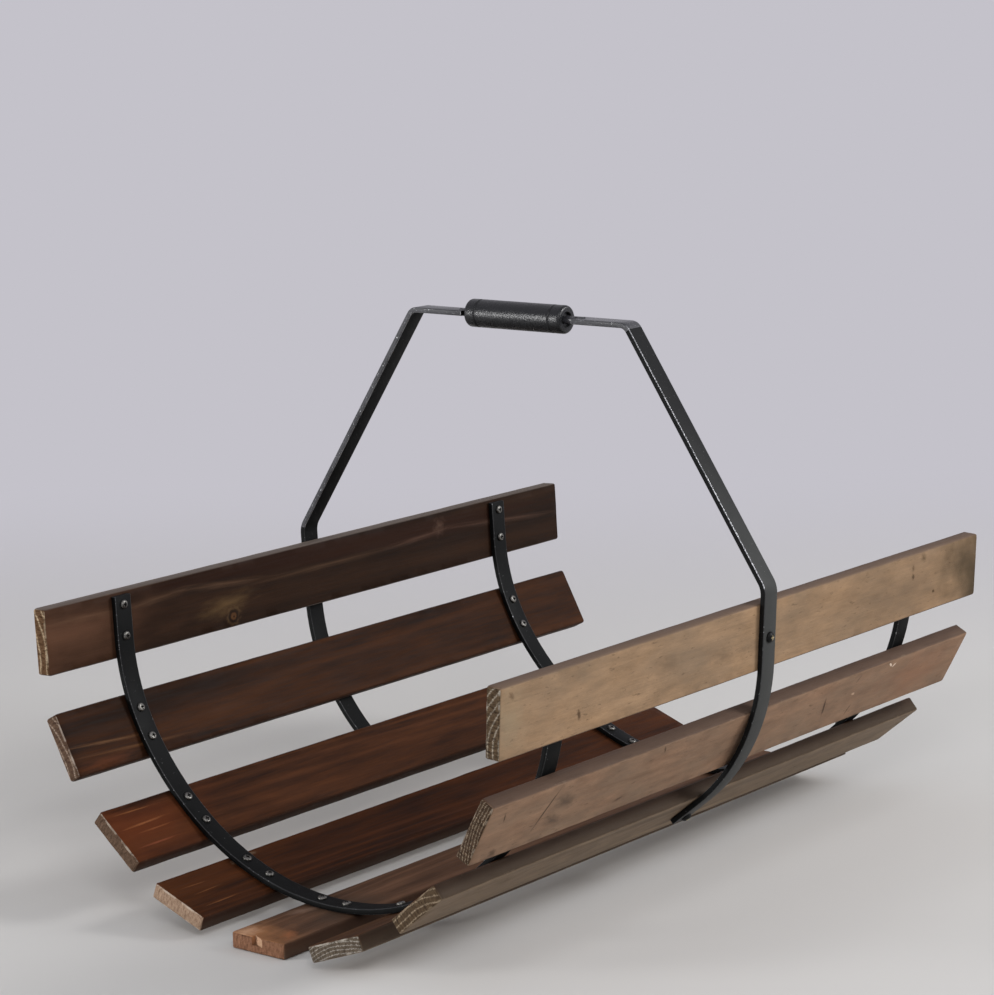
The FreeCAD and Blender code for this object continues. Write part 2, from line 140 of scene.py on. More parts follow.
# %% [markdown]
# ## Colours and nodes
# A hex code read off a screen is sRGB, but nodes take linear light, so one function converts it. Another
# fills in a node's inputs, and one more adds a node and gives the output that the next node takes. A Mix
# node's share is its input 0, and its two colours are inputs 6 and 7. Object coordinates are in metres from
# the rack's origin, so a pattern's size can be written in real millimetres.

# %% Convert a colour, add a node, start a material
def colour(code):
    """The linear colour of an sRGB hex code."""
    shares = [int(code[place:place + 2], 16) / 255 for place in (1, 3, 5)]
    return (*[share / 12.92 if share <= 0.04045 else ((share + 0.055) / 1.055) ** 2.4 for share in shares], 1)


def fill_in(node, inputs):
    """Fills in a node's inputs. Each takes a plain value or another node's output."""
    for name, value in inputs.items():
        if isinstance(value, bpy.types.NodeSocket):
            node.id_data.links.new(value, node.inputs[name])
        else:
            node.inputs[name].default_value = value


def add_node(tree, kind, inputs, output=None, **settings):
    """Adds a node with its settings and inputs, and gives one output: the named one or the first in use."""
    node = tree.nodes.new("ShaderNode" + kind)
    for name, value in settings.items():
        setattr(node, name, value)
    fill_in(node, inputs)
    return node.outputs[output] if output else next(socket for socket in node.outputs if socket.enabled)


def new_material(name):
    """Starts a material and gives its node tree and its surface shader."""
    material = bpy.data.materials.new(name)
    material.use_nodes = True
    return material, material.node_tree, material.node_tree.nodes["Principled BSDF"]


def give(piece, materials):
    """Puts materials into a piece's slots, the first one all over."""
    piece.data.materials.clear()
    for material in materials:
        piece.data.materials.append(material)


def paint_faces(piece, slot_number, passes):
    """Assigns one slot's material to the faces that pass a test."""
    open_piece(piece)
    pick("FACE", passes)
    piece.active_material_index = slot_number
    bpy.ops.object.material_slot_assign()
    close_piece()


print("mid grey is", [round(share, 3) for share in colour("#808080")[:3]])

# %% [markdown]
# ## The slats
# Each slat is a planed softwood board, 600 by 49 by 12 mm, with its corners and edges knocked off by hand.
# A bevelled box alone would look machined. So the long edges are cut into short lengths first, and then two
# Displace modifiers press the surface in by a fraction of a millimetre: a broad one for the planed faces,
# and a rougher one for the edges alone. Pressing only inwards keeps the slat within its solid. The slat has
# two empty material slots, one for its faces and one for its sawn ends, which are marked while still true.

# %% Shape one slat, lying flat
slat_low, slat_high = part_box("bottom_slat")
slat_size = slat_high - slat_low
SLAT_EASE, SLAT_CORNER = 1.4 * MM, 3.2 * MM
SLAT_CUTS = (110, 7, 1)  # along, across and through the slat


def runs_along(edge, axis):
    """True for a long edge that runs along one axis."""
    run = edge.verts[1].co - edge.verts[0].co
    return run.length > 3 * SLAT_EASE and abs(run[axis]) > 0.999 * run.length


def is_on_edge(vertex):
    """True for a vertex on one of the slat's eased edges."""
    depths = sorted(slat_size[axis] / 2 - abs(vertex.co[axis]) for axis in range(3))
    return depths[0] + depths[1] < 0.8 * SLAT_EASE


bpy.ops.mesh.primitive_cube_add(size=1, scale=slat_size)
bpy.ops.object.transform_apply()
plain_slat = bpy.context.object
open_piece(plain_slat)
pick("EDGE", lambda edge: runs_along(edge, 2))
bpy.ops.mesh.bevel(offset=SLAT_CORNER, segments=4, affect="EDGES")
pick("EDGE", lambda edge: abs(edge.verts[0].co.z - edge.verts[1].co.z) < SLAT_EASE / 10)
bpy.ops.mesh.bevel(offset=SLAT_EASE, segments=3, affect="EDGES")
for axis, cuts in enumerate(SLAT_CUTS):
    pick("EDGE", lambda edge: runs_along(edge, axis))
    bpy.ops.mesh.subdivide(number_cuts=cuts)
pick("VERT", is_on_edge)
bpy.ops.object.vertex_group_assign_new()
close_piece()
plain_slat.vertex_groups[0].name = "eased_edges"
give(plain_slat, [None, None])
paint_faces(plain_slat, 1, lambda face: abs(face.normal.x) > 0.6)
print("one slat:", len(plain_slat.data.polygons), "faces")

# %% Lay nine slats in the arch, each with its own unevenness
# The turns are each row's lean in degrees. Dents are a depth and a size, and the vertices that they keep to.
ROW_TURNS = {"bottom": 0, "lower": 20.5, "middle": 39.5, "upper": 62, "top": 87}
SIDES = {"left": 1, "right": -1}
FACE_DENTS = (0.5 * MM, 45 * MM)
EDGE_DENTS = (0.6 * MM, 9 * MM, "eased_edges")
slat_names = [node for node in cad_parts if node.endswith("_slat")]


def slat_turn(name):
    """How far a slat leans from flat, in radians about X."""
    words = name.split("_")
    return math.radians(SIDES.get(words[0], 1) * ROW_TURNS[words[-2]])


def slat_centre(name):
    """The middle of a slat."""
    low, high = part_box(name)
    return (low + high) / 2


slats = {}
for name in slat_names:
    slat = copy_of(plain_slat, name + "_board")
    settle(slat, slat_centre(name), slat_turn(name))
    press_in(slat, *FACE_DENTS)
    press_in(slat, *EDGE_DENTS)
    apply_all(slat)
    slats[name] = slat
bpy.data.objects.remove(plain_slat)
print("slats:", len(slats))

# %% Split a chip out of the bottom slat's near end
CHIP = Vector((4, 10, 6.5)) * MM


def is_split_floor(face):
    """True for the sloping floor of the chip."""
    return face.normal.x < -0.8 and face.normal.y > 0.3 and abs(face.calc_center_median().y) < CHIP.y / 2


bpy.ops.mesh.primitive_cube_add(
    size=1, scale=(2 * CHIP.x, CHIP.y, 2 * CHIP.z), location=(slat_low.x, 0, slat_high.z)
)
bpy.ops.object.transform_apply()
chip = bpy.context.object
open_piece(chip)
pick("VERT", lambda vertex: vertex.co.y < 0 and vertex.co.x > slat_low.x)
bpy.ops.transform.translate(value=(-CHIP.x, 0, 0))
close_piece()
chipped_slat = slats["bottom_slat"]
combine(chipped_slat, chip, "DIFFERENCE")
chipped_slat.data.materials.append(None)
paint_faces(chipped_slat, 1, lambda face: face.normal.x < -0.95)
paint_faces(chipped_slat, 2, is_split_floor)
print("bottom slat:", len(chipped_slat.data.polygons), "faces")

# %% [markdown]
# ## Stained softwood
# The slats are flat-sawn softwood with a dark stain. Stain sinks into the soft wood between the yearly
# rings and leaves the hard rings paler, so long pale lines flow along a dark face. The faces inside the
# cradle kept their stain. The ones outside are rubbed back to a dull tan. To draw this, the board's own
# coordinates come first: a Mapping node of the TEXTURE kind undoes the slat's place and lean, which leaves
# X along the board, Y across it and Z through it. The rings are circles round a heart line that runs
# almost along the board and outside it, so they also show as arcs on the sawn ends, in step with the face.
# On the left and bottom slats the colours inside the cradle also carry painted shade.

# %% The boards' own looks
# The colours are the stained hollow and the pale ring inside the cradle, the same two outside it, and the
# long edges. On the left and bottom slats the two inside colours are darker than the stain alone, with
# painted shade in them, and the left top slat's paler grey edge colour is a painted highlight. The heart
# line's offset is in millimetres across and through the board, its lean is in radians of the stretched
# pattern, and the ring is one year's growth in millimetres.
Look = namedtuple("Look", "inner_dark inner_pale outer_dark outer_pale edge heart lean ring")
SLAT_LOOKS = {
    "bottom_slat": Look(
        "#3b281d", "#7c5a45", "#5a4c40", "#857260", "#4a352a", heart=(6, 30), lean=(0.05, -0.3), ring=4.0
    ),
    "left_lower_slat": Look(
        "#150a05", "#5a3118", "#63544a", "#907d69", "#38261d", heart=(-9, 30), lean=(0.1, 0.25), ring=3.6
    ),
    "left_middle_slat": Look(
        "#190c06", "#5f3820", "#69574a", "#97806a", "#38261d", heart=(14, 40), lean=(-0.1, 0.2), ring=4.2
    ),
    "left_upper_slat": Look(
        "#110906", "#4e2d17", "#6e5b4c", "#9d866e", "#38261d", heart=(4, 44), lean=(0.1, -0.2), ring=6.0
    ),
    # Its paler grey edge colour is a painted highlight along the long edges.
    "left_top_slat": Look(
        "#150c07", "#372316", "#735e4c", "#a2886e", "#6a605a", heart=(2, 42), lean=(0.06, -0.3), ring=6.5
    ),
    "right_lower_slat": Look(
        "#27190f", "#66442c", "#5d4e3e", "#8f7a63", "#40342b", heart=(5, 70), lean=(-0.08, 0.28), ring=2.6
    ),
    "right_middle_slat": Look(
        "#25180f", "#60402b", "#605040", "#94806a", "#3c3027", heart=(-4, 70), lean=(0.1, 0.24), ring=4.2
    ),
    "right_upper_slat": Look(
        "#281a10", "#68452d", "#6a5140", "#a58369", "#54443b", heart=(4, 80), lean=(-0.1, -0.26), ring=2.2
    ),
    "right_top_slat": Look(
        "#26190f", "#60432b", "#7e654c", "#b89674", "#6a584d", heart=(-15, 40), lean=(0.08, 0.22), ring=4.4
    ),
}

# %% Rings, streaks and worn edges
# The rings are drawn out along the board, and every board shows another length of the tree. At scale 1 a
# Wave texture's rings are the wave spacing apart.
RING_STRETCH, TREE_STEP = 0.06, 0.7
WAVE_SPACING = math.tau / 20
TEAR_GRAIN, RUB_GRAIN = 1.3 * MM, 7 * MM
LEAST_RUB = 0.3
SEED_STEP = Vector((3.7, 1.9, 0))


def board_pattern(tree, name, tear=0):
    """Adds a slat's own coordinates and its rings, whose hard late wood is near 1, torn by a length."""
    look = SLAT_LOOKS[name]
    place = add_node(tree, "TexCoord", {}, "Object")
    board = add_node(tree, "Mapping", {
        "Vector": place, "Location": slat_centre(name), "Rotation": (slat_turn(name), 0, 0),
    }, vector_type="TEXTURE")
    torn = board
    if tear:
        rough = add_node(tree, "TexNoise", {"Vector": board, "Scale": 1 / TEAR_GRAIN, "Detail": 3}, "Color")
        torn = add_node(tree, "VectorMath", {0: rough, 1: 3 * [tear], 2: board}, operation="MULTIPLY_ADD")
    grain = add_node(tree, "Mapping", {
        "Vector": torn, "Scale": (RING_STRETCH, 1, 1), "Rotation": (0, *look.lean),
        "Location": (slat_names.index(name) * TREE_STEP, look.heart[0] * MM, look.heart[1] * MM),
    })
    rings = add_node(tree, "TexWave", {
        "Vector": grain, "Scale": WAVE_SPACING / (look.ring * MM), "Distortion": 3.2, "Detail": 3,
        "Detail Scale": 0.6,
    }, "Fac", wave_type="RINGS", rings_direction="X")
    return board, rings


def streaks(tree, board, along, across, seed):
    """Adds noise drawn out along the board, with a size in millimetres, spread over the range from 0 to 1."""
    drawn = add_node(tree, "Mapping", {
        "Vector": board, "Location": seed * SEED_STEP,
        "Scale": (1 / (along * MM), 1 / (across * MM), 1 / (across * MM)),
    })
    noise = add_node(tree, "TexNoise", {"Vector": drawn, "Scale": 1, "Detail": 5, "Roughness": 0.65})
    return add_node(tree, "MapRange", {"Value": noise, "From Min": 0.3, "From Max": 0.7}, clamp=False)


def worn_edges(tree, board, start, reach):
    """Adds a mask that is 1 up to a start from a slat's edges and fades, unevenly, within a reach, in mm."""
    out = add_node(tree, "VectorMath", {0: board}, operation="ABSOLUTE")
    depth = add_node(tree, "VectorMath", {0: slat_size / 2, 1: out}, operation="SUBTRACT")
    total = add_node(tree, "VectorMath", {0: depth, 1: (1, 1, 1)}, operation="DOT_PRODUCT")
    depths = add_node(tree, "SeparateXYZ", {"Vector": depth}).node.outputs
    deeper = add_node(tree, "Math", {0: depths["X"], 1: depths["Y"]}, operation="MAXIMUM")
    deepest = add_node(tree, "Math", {0: deeper, 1: depths["Z"]}, operation="MAXIMUM")
    from_edge = add_node(tree, "Math", {0: total, 1: deepest}, operation="SUBTRACT")
    rub = add_node(tree, "TexNoise", {"Vector": board, "Scale": 1 / RUB_GRAIN, "Detail": 4})
    limit = add_node(tree, "MapRange", {
        "Value": rub, "From Min": 0.34, "From Max": 0.66,
        "To Min": (start + LEAST_RUB) * MM, "To Max": (start + reach) * MM,
    })
    return add_node(tree, "MapRange", {
        "Value": from_edge, "From Min": limit, "From Max": start * MM,
    }, interpolation_type="SMOOTHSTEP")


print("boards with looks:", len(SLAT_LOOKS))

# %% [markdown]
# ## Marks on a board
# Knots, bruises, smoke stains, pale lines and scratches are what tells one board from another. Each is an
# ellipse with a frayed, soft rim at its own place on the board. One function lays any of them over the colour
# so far, on one face only: the inner one of the left and bottom slats, the outer one of the right slats. A
# knot is a pale halo, a dark ring, a brown core and a dark pith on one spot, and a wavy line is a few long
# marks end to end.
# A few marks are painted light and shade: warm light on two left slats' near ends, shade on the bottom slat.

# %% Lay a mark over the colour so far
# Places and sizes are in millimetres along and across the board, the turn is in degrees, soft is the share of
# the mark over which its rim fades, and fray is how ragged that rim is.
Mark = namedtuple("Mark", "along across length width turn code strength soft fray", defaults=(1.2,))
SLAT_MARKS = {
    "left_top_slat": [
        Mark(-290, 0, 300, 90, 0, "#74503c", 0.7, 1.3),
        Mark(40, 15, 620, 19, -1.5, "#2c170d", 0.7, 0.5),
        Mark(-258, 11.5, 130, 8, -2, "#7a5b45", 0.4, 1.4),
        Mark(-188, 11.6, 110, 8, 3.2, "#7a5b45", 0.4, 1.4),
        Mark(-117, 10.2, 140, 7.5, -4.6, "#7a5b45", 0.45, 1.4),
        Mark(0, 4.8, 230, 6.5, 0, "#70543f", 0.45, 1.4),
        Mark(114, 7.2, 130, 6.5, 2.8, "#6f5345", 0.5, 1.4),
        Mark(226, 4.4, 210, 6.5, -4, "#6f5345", 0.5, 1.4),
        Mark(141, 12.5, 22, 19, 0, "#6f5648", 0.5, 1.5, 1.8),
        Mark(-114, -6, 84, 22, 4, "#7d6240", 0.55, 1.4),
        Mark(-107.7, -16, 19, 17, 0, "#6b5338", 0.5, 0.6),
        Mark(-107.7, -16, 14, 13, 0, "#160b07", 0.9, 0.4, 0.4),
        Mark(-107.7, -16, 8, 7, 0, "#573a22", 0.95, 0.45, 0.4),
        Mark(-107.4, -16.4, 2.6, 2.4, 0, "#1c0d07", 0.8, 0.6, 0.4),
    ],
    "left_upper_slat": [
        Mark(-190, 14, 380, 30, 1, "#170e09", 0.75, 0.9),
        Mark(-262, -5, 110, 3.4, -4, "#8a6242", 0.55, 1.2),
        Mark(-235, -14, 160, 3.4, -3, "#7d5535", 0.5, 1.2),
        Mark(-270, -19, 80, 12, 0, "#6e3c20", 0.5, 1.0),
    ],
    "left_middle_slat": [
        # Painted warm light over the near end.
        Mark(-285, -2, 260, 130, 0, "#733819", 0.65, 1.3),
        Mark(-255, 22, 110, 12, 0, "#150a05", 0.75, 0.9),
        Mark(-180, -10, 120, 8, -3, "#200f07", 0.5, 0.9),
        Mark(-272, 17, 50, 1.6, -1, "#9a6238", 0.6, 1.0),
        Mark(-270, 5, 58, 2.4, 1.8, "#a0643c", 0.7, 1.0),
        Mark(-264, -1.6, 46, 1.8, 0.6, "#975a34", 0.6, 1.0),
        Mark(-270, -13, 50, 2.2, 0.3, "#98543a", 0.6, 1.0),
    ],
    "left_lower_slat": [
        # Painted warm light over the near end.
        Mark(-285, -2, 220, 130, 0, "#5f3518", 0.35, 1.3),
        Mark(-225, 18, 14, 6, 20, "#8f7b66", 0.5, 0.8),
        Mark(-205, 20, 12, 4, -10, "#84705c", 0.5, 0.8),
        Mark(-250, -4, 90, 7, 2, "#1d0f08", 0.5, 0.9),
        Mark(-275, 9.4, 34, 1.6, -2, "#8f5a35", 0.55, 1.0),
        Mark(-270, 0.5, 36, 1.6, 2, "#8f5a35", 0.55, 1.0),
        Mark(-270, -13.8, 46, 1.8, 0.8, "#96603a", 0.65, 1.0),
    ],
    "bottom_slat": [
        # Darker, greyer patch past the near end: partly darker stain, partly painted shade.
        Mark(-218, -8, 130, 110, 0, "#46392f", 0.8, 1.1),
        Mark(-294, 6, 70, 80, 0, "#b07a52", 0.85, 1.2),
        Mark(-236, 14, 40, 12, -15, "#a08270", 0.4, 0.9),
        Mark(-282, -13, 30, 14, 30, "#a86b48", 0.6, 1.0),
        Mark(-293, 15, 34, 22, 0, "#d0a484", 0.8, 1.0),
    ],
    "right_top_slat": [
        Mark(170, 0, 380, 140, 0, "#655240", 0.55, 1.4),
        Mark(302, 4, 150, 170, 0, "#453929", 0.95, 1.0),
        Mark(-290, -3, 50, 70, 0, "#94866d", 0.5, 1.2),
        Mark(-216, 10.6, 10, 4.5, 75, "#4f3c2c", 0.85, 0.7),
        Mark(-288, -17, 10, 5, 40, "#65503c", 0.7, 0.8),
        Mark(-117, -3, 44, 18, 10, "#6a5643", 0.5, 1.1),
        Mark(-48, 4, 40, 16, 8, "#6a5643", 0.55, 1.1),
        Mark(204.4, -6.5, 7, 5, 60, "#4a3827", 0.85, 0.8),
        Mark(204, -13, 5, 7, 0, "#5b4733", 0.7, 0.8),
        Mark(219, -19, 12, 9, 30, "#54432f", 0.7, 1.0),
        Mark(235.6, 10, 5, 3, 0, "#46331f", 0.9, 0.6),
    ],
    "right_upper_slat": [
        Mark(235, 0, 150, 70, 0, "#92664c", 0.5, 1.2),
        Mark(-212.5, -5, 36, 15, 20, "#57483c", 0.8, 1.0),
        Mark(-218.7, 9, 32, 12, 22, "#57483c", 0.8, 1.0),
        Mark(-233, -4.2, 46, 2.3, -66, "#4b3a2e", 0.95, 0.6),
        Mark(-142, 13.7, 16, 3.5, -13, "#4c3b2f", 0.7, 0.8),
        Mark(-281, -11, 10, 2, 74, "#463629", 0.8, 0.6),
        Mark(-277, 19, 12, 8, 20, "#493a2e", 0.7, 0.8),
        Mark(-108, -19, 9, 2.2, 60, "#463629", 0.8, 0.6),
        Mark(-120, -2, 150, 7, 2, "#66503f", 0.5, 1.0),
        Mark(107.5, 0.4, 25, 3.4, 70, "#46342a", 0.9, 0.7),
        Mark(150, 13, 14, 1.6, -69, "#4f3d31", 0.85, 0.6),
        Mark(144, -17, 11, 2, -60, "#544236", 0.7, 0.7),
        Mark(146, -2.4, 7, 3, 10, "#c4a68c", 0.7, 0.7),
        Mark(187, -19.5, 8, 2, 35, "#e6d3bf", 0.95, 0.5),
        Mark(193, -18, 6, 1.8, -40, "#e6d3bf", 0.85, 0.5),
    ],
    "right_middle_slat": [
        Mark(-30, -14, 420, 12, 1, "#4a3d31", 0.5, 1.0),
        Mark(20, 16, 240, 9, 1, "#a8937a", 0.45, 1.0),
    ],
}


def lay_mark(tree, board, marked_face, below, mark):
    """Mixes one mark over the colour below it, where a mask shows the face that it lies on."""
    spot = add_node(tree, "Mapping", {
        "Vector": board, "Location": (mark.along * MM, mark.across * MM, 0),
        "Rotation": (0, 0, math.radians(mark.turn)),
        "Scale": (mark.length * MM / 2, mark.width * MM / 2, 1),
    }, vector_type="TEXTURE")
    away = add_node(tree, "VectorMath", {0: spot}, operation="LENGTH")
    fray = add_node(tree, "TexNoise", {"Vector": spot, "Scale": 2.2, "Detail": 4})
    frayed = add_node(tree, "Math", {0: fray, 1: mark.fray, 2: away}, operation="MULTIPLY_ADD")
    rim = 1 + mark.fray / 2
    mask = add_node(tree, "MapRange", {
        "Value": frayed, "From Min": rim, "From Max": rim - mark.soft, "To Max": mark.strength,
    }, interpolation_type="SMOOTHSTEP")
    share = add_node(tree, "Math", {0: mask, 1: marked_face}, operation="MULTIPLY")
    return add_node(tree, "Mix", {0: share, 6: below, 7: colour(mark.code)}, data_type="RGBA")


print("marks:", sum(len(marks) for marks in SLAT_MARKS.values()))

# %% [markdown]
# ## The faces and the ends of a slat
# Inside the cradle the tone adds three things up: the rings, fine fibres that run along the board, and the
# cloudy way in which softwood drinks stain. Outside, wear has blurred the rings into soft mottling. The end
# shows the rings as thin pale arcs on a rough dark ground with a worn rim. Relief follows the same patterns
# as colour, so the two agree.

# %% Stain a slat's faces
RUBBED_CODES = {"left": "#7d6757", "right": "#9c8a76", "bottom": "#88725f"}
SMOKE_CODE, FLECK_CODE = "#776858", "#4a392b"
FACE_FADE = 4 * MM
EDGE_STAIN_START, EDGE_STAIN_END = 1.6 * MM, 0.5 * MM
FACE_RUB_START, FACE_RUB_REACH = 0, 2.0


def blend(tree, patterns, dark, pale):
    """Adds up (pattern, weight) pairs and mixes a dark and a pale colour by the sum."""
    tone = 0
    for pattern, weight in patterns:
        tone = add_node(tree, "Math", {0: pattern, 1: weight, 2: tone}, operation="MULTIPLY_ADD")
    return add_node(tree, "Mix", {0: tone, 6: colour(dark), 7: colour(pale)}, data_type="RGBA")


def inner_stain(tree, look, rings, fibres, clouds):
    """Adds the colour of a face that kept its stain: pale rings on a dark, streaky ground."""
    hard = add_node(tree, "Math", {0: rings, 1: 3}, operation="POWER")
    return blend(tree, [(fibres, 0.3), (clouds, 0.5), (hard, 0.25)], look.inner_dark, look.inner_pale)


def outer_wear(tree, look, board, seed, fibres, clouds):
    """Adds the colour of a face that is rubbed dull: soft mottling, a smoky tint and small dark flecks."""
    mottle = streaks(tree, board, 26, 9, seed + 4)
    smoke = streaks(tree, board, 70, 30, seed + 7)
    flecks = streaks(tree, board, 9, 2.4, seed + 11)
    worn = blend(tree, [(fibres, 0.2), (clouds, 0.25), (mottle, 0.5)], look.outer_dark, look.outer_pale)
    haze = add_node(tree, "MapRange", {"Value": smoke, "To Max": 0.6})
    smoked = add_node(tree, "Mix", {0: haze, 6: worn, 7: colour(SMOKE_CODE)}, data_type="RGBA")
    spots = add_node(tree, "MapRange", {"Value": flecks, "From Min": 0.78, "From Max": 1.0, "To Max": 0.5})
    return add_node(tree, "Mix", {0: spots, 6: smoked, 7: colour(FLECK_CODE)}, data_type="RGBA")


def face_colour(tree, name, board, rings, fibres):
    """Adds the colours of a slat's two faces and gives them with the mask of the inner one."""
    look, seed = SLAT_LOOKS[name], slat_names.index(name)
    clouds = streaks(tree, board, 110, 13, seed + 0.5)
    inner = inner_stain(tree, look, rings, fibres, clouds)
    outer = outer_wear(tree, look, board, seed, fibres, clouds)
    depth = add_node(tree, "SeparateXYZ", {"Vector": board}, "Z")
    inside = add_node(tree, "MapRange", {
        "Value": depth, "From Min": -FACE_FADE, "From Max": FACE_FADE,
    }, interpolation_type="SMOOTHSTEP")
    return add_node(tree, "Mix", {0: inside, 6: outer, 7: inner}, data_type="RGBA"), inside


def edge_colour(tree, name, board, below):
    """Lays the colour of the long edges over that of the faces, and the rubbed wood over both."""
    across = add_node(tree, "SeparateXYZ", {"Vector": board}, "Y")
    width = add_node(tree, "Math", {0: across}, operation="ABSOLUTE")
    on_edge = add_node(tree, "MapRange", {
        "Value": width, "From Min": slat_size.y / 2 - EDGE_STAIN_START,
        "From Max": slat_size.y / 2 - EDGE_STAIN_END, "To Max": 0.85,
    }, interpolation_type="SMOOTHSTEP")
    edged = add_node(tree, "Mix", {0: on_edge, 6: below, 7: colour(SLAT_LOOKS[name].edge)}, data_type="RGBA")
    rub = worn_edges(tree, board, FACE_RUB_START, FACE_RUB_REACH)
    rubbed = colour(RUBBED_CODES[name.split("_")[0]])
    return add_node(tree, "Mix", {0: rub, 6: edged, 7: rubbed}, data_type="RGBA")


def stained_face(name):
    """Stained softwood, planed and rubbed: pale flowing rings on a dark ground, dull, worn at the edges."""
    material, tree, shader = new_material("stained_softwood_" + name)
    board, rings = board_pattern(tree, name)
    fibres = streaks(tree, board, 40, 1.8, slat_names.index(name))
    shade, marked_face = face_colour(tree, name, board, rings, fibres)
    if name.startswith("right"):
        marked_face = add_node(tree, "Math", {0: 1, 1: marked_face}, operation="SUBTRACT")
    for mark in SLAT_MARKS.get(name, []):
        shade = lay_mark(tree, board, marked_face, shade, mark)
    relief = add_node(tree, "Math", {0: rings, 1: 0.5, 2: fibres}, operation="MULTIPLY_ADD")
    fill_in(shader, {
        "Base Color": edge_colour(tree, name, board, shade),
        "Roughness": add_node(tree, "MapRange", {"Value": fibres, "To Min": 0.55, "To Max": 0.75}),
        "Specular IOR Level": 0.1,
        "Normal": add_node(tree, "Bump", {"Strength": 0.5, "Distance": 0.2 * MM, "Height": relief}),
    })
    return material


# %% Saw a slat's ends
# The colours are the ground's two tones, the rings and the rim, and lines is how clearly the rings stand out.
EndLook = namedtuple("EndLook", "dark ground ring rim lines")
END_LOOKS = {
    "bottom_slat": EndLook("#674634", "#9c7258", "#b48d70", "#3a291e", 0.15),
    "left_lower_slat": EndLook("#7a604d", "#b59a83", "#cbb09b", "#d3c3b2", 0.3),
    "left_middle_slat": EndLook("#3f2f24", "#715b4b", "#8d7765", "#cbbdac", 0.1),
    "left_upper_slat": EndLook("#3a281e", "#6b5545", "#b7a391", "#c4b5a7", 0.8),
    "left_top_slat": EndLook("#34210f", "#735740", "#cfb999", "#bfad94", 0.9),
    "right_lower_slat": EndLook("#3b3127", "#75695b", "#d5cec3", "#cdc5b9", 0.8),
    "right_middle_slat": EndLook("#352920", "#65533f", "#bda98f", "#a39179", 0.75),
    "right_upper_slat": EndLook("#2a1f17", "#5a4737", "#bfac95", "#bfb09d", 0.8),
    "right_top_slat": EndLook("#261b12", "#6d5a45", "#cfc4b2", "#d8d0c2", 0.6),
}
END_TEAR = 2.4 * MM
END_RIM_START, END_RIM_REACH = 1.0, 1.4
SAW_SLANT = math.radians(25)
SAW_SCORES = [1 / (size * MM) for size in (4, 1.6, 6)]


def sawn_end(name):
    """End grain as the saw left it: pale ring arcs on a dark ground that is scored one way, rough and dry."""
    material, tree, shader = new_material("sawn_end_grain_" + name)
    look = END_LOOKS[name]
    board, rings = board_pattern(tree, name, END_TEAR)
    saw_way = add_node(tree, "Mapping", {"Vector": board, "Rotation": (SAW_SLANT, 0, 0), "Scale": SAW_SCORES})
    torn = add_node(tree, "TexNoise", {"Vector": saw_way, "Scale": 1, "Detail": 5, "Roughness": 0.85})
    blotches = add_node(tree, "MapRange", {"Value": torn, "From Min": 0.35, "From Max": 0.65})
    ground = blend(tree, [(blotches, 1)], look.dark, look.ground)
    hard = add_node(tree, "Math", {0: rings, 1: 9}, operation="POWER")
    broken = add_node(tree, "MapRange", {
        "Value": torn, "From Min": 0.4, "From Max": 0.6, "To Min": 0.15 * look.lines, "To Max": look.lines,
    })
    line = add_node(tree, "Math", {0: hard, 1: broken}, operation="MULTIPLY")
    ringed = add_node(tree, "Mix", {0: line, 6: ground, 7: colour(look.ring)}, data_type="RGBA")
    rim = worn_edges(tree, board, END_RIM_START, END_RIM_REACH)
    relief = add_node(tree, "Math", {0: hard, 1: 0.4, 2: torn}, operation="MULTIPLY_ADD")
    fill_in(shader, {
        "Base Color": add_node(tree, "Mix", {0: rim, 6: ringed, 7: colour(look.rim)}, data_type="RGBA"),
        "Roughness": 0.85,
        "Specular IOR Level": 0.1,
        "Normal": add_node(tree, "Bump", {"Strength": 0.8, "Distance": 0.6 * MM, "Height": relief}),
    })
    return material


# %% Leave the chip bare
def split_wood():
    """Softwood split open after it was stained: pale dry fibres, rough along the grain."""
    material, tree, shader = new_material("fresh_split_softwood")
    place = add_node(tree, "TexCoord", {}, "Object")
    fibres = streaks(tree, place, 8, 0.9, 2)
    fill_in(shader, {
        "Base Color": blend(tree, [(fibres, 1)], "#a3775a", "#dcb898"),
        "Roughness": 0.8,
        "Specular IOR Level": 0.1,
        "Normal": add_node(tree, "Bump", {"Strength": 0.6, "Distance": 0.3 * MM, "Height": fibres}),
    })
    return material


for name, slat in slats.items():
    slat.data.materials[0] = stained_face(name)
    slat.data.materials[1] = sawn_end(name)
chipped_slat.data.materials[2] = split_wood()
print("wood materials:", 2 * len(slats) + 1)

# %% [markdown]
# ## The bent bar
# The ribs and the bow are 16 by 4 mm flat bar, bent cold, so its corners are slightly round and its bends
# are true arcs. The bar's section is drawn once as a plane with rounded corners. Then it travels: it is
# extruded along a straight run and spun round a bend, and the end that was just made stays selected, so
# the next run goes on from there. Spin turns against the right-hand rule, hence the minus sign.

# %% Draw the bar's section and let it travel
BAR_WIDTH, BAR_THICK = 16 * MM, 4 * MM
BAR_ROUND, BAR_END_ROUND = 0.7 * MM, 0.4 * MM
BEND_STEP = math.radians(3)
MERGE_WITHIN = 0.01 * MM


def start_bar(name, middle_x, place, heading):
    """Puts the bar's outline, without a face, across a heading in the plane across the rack."""
    bpy.ops.mesh.primitive_plane_add(
        size=1, location=(middle_x, *place), rotation=(math.radians(90) + heading, 0, 0)
    )
    bar = bpy.context.object
    bar.name = name
    bar.scale = (BAR_WIDTH, BAR_THICK, 1)
    bpy.ops.object.transform_apply()
    open_piece(bar)
    bpy.ops.mesh.select_all(action="SELECT")
    bpy.ops.mesh.bevel(offset=BAR_ROUND, segments=3, affect="VERTICES")
    bpy.ops.mesh.delete(type="ONLY_FACE")
    bpy.ops.mesh.select_all(action="SELECT")
    return bar


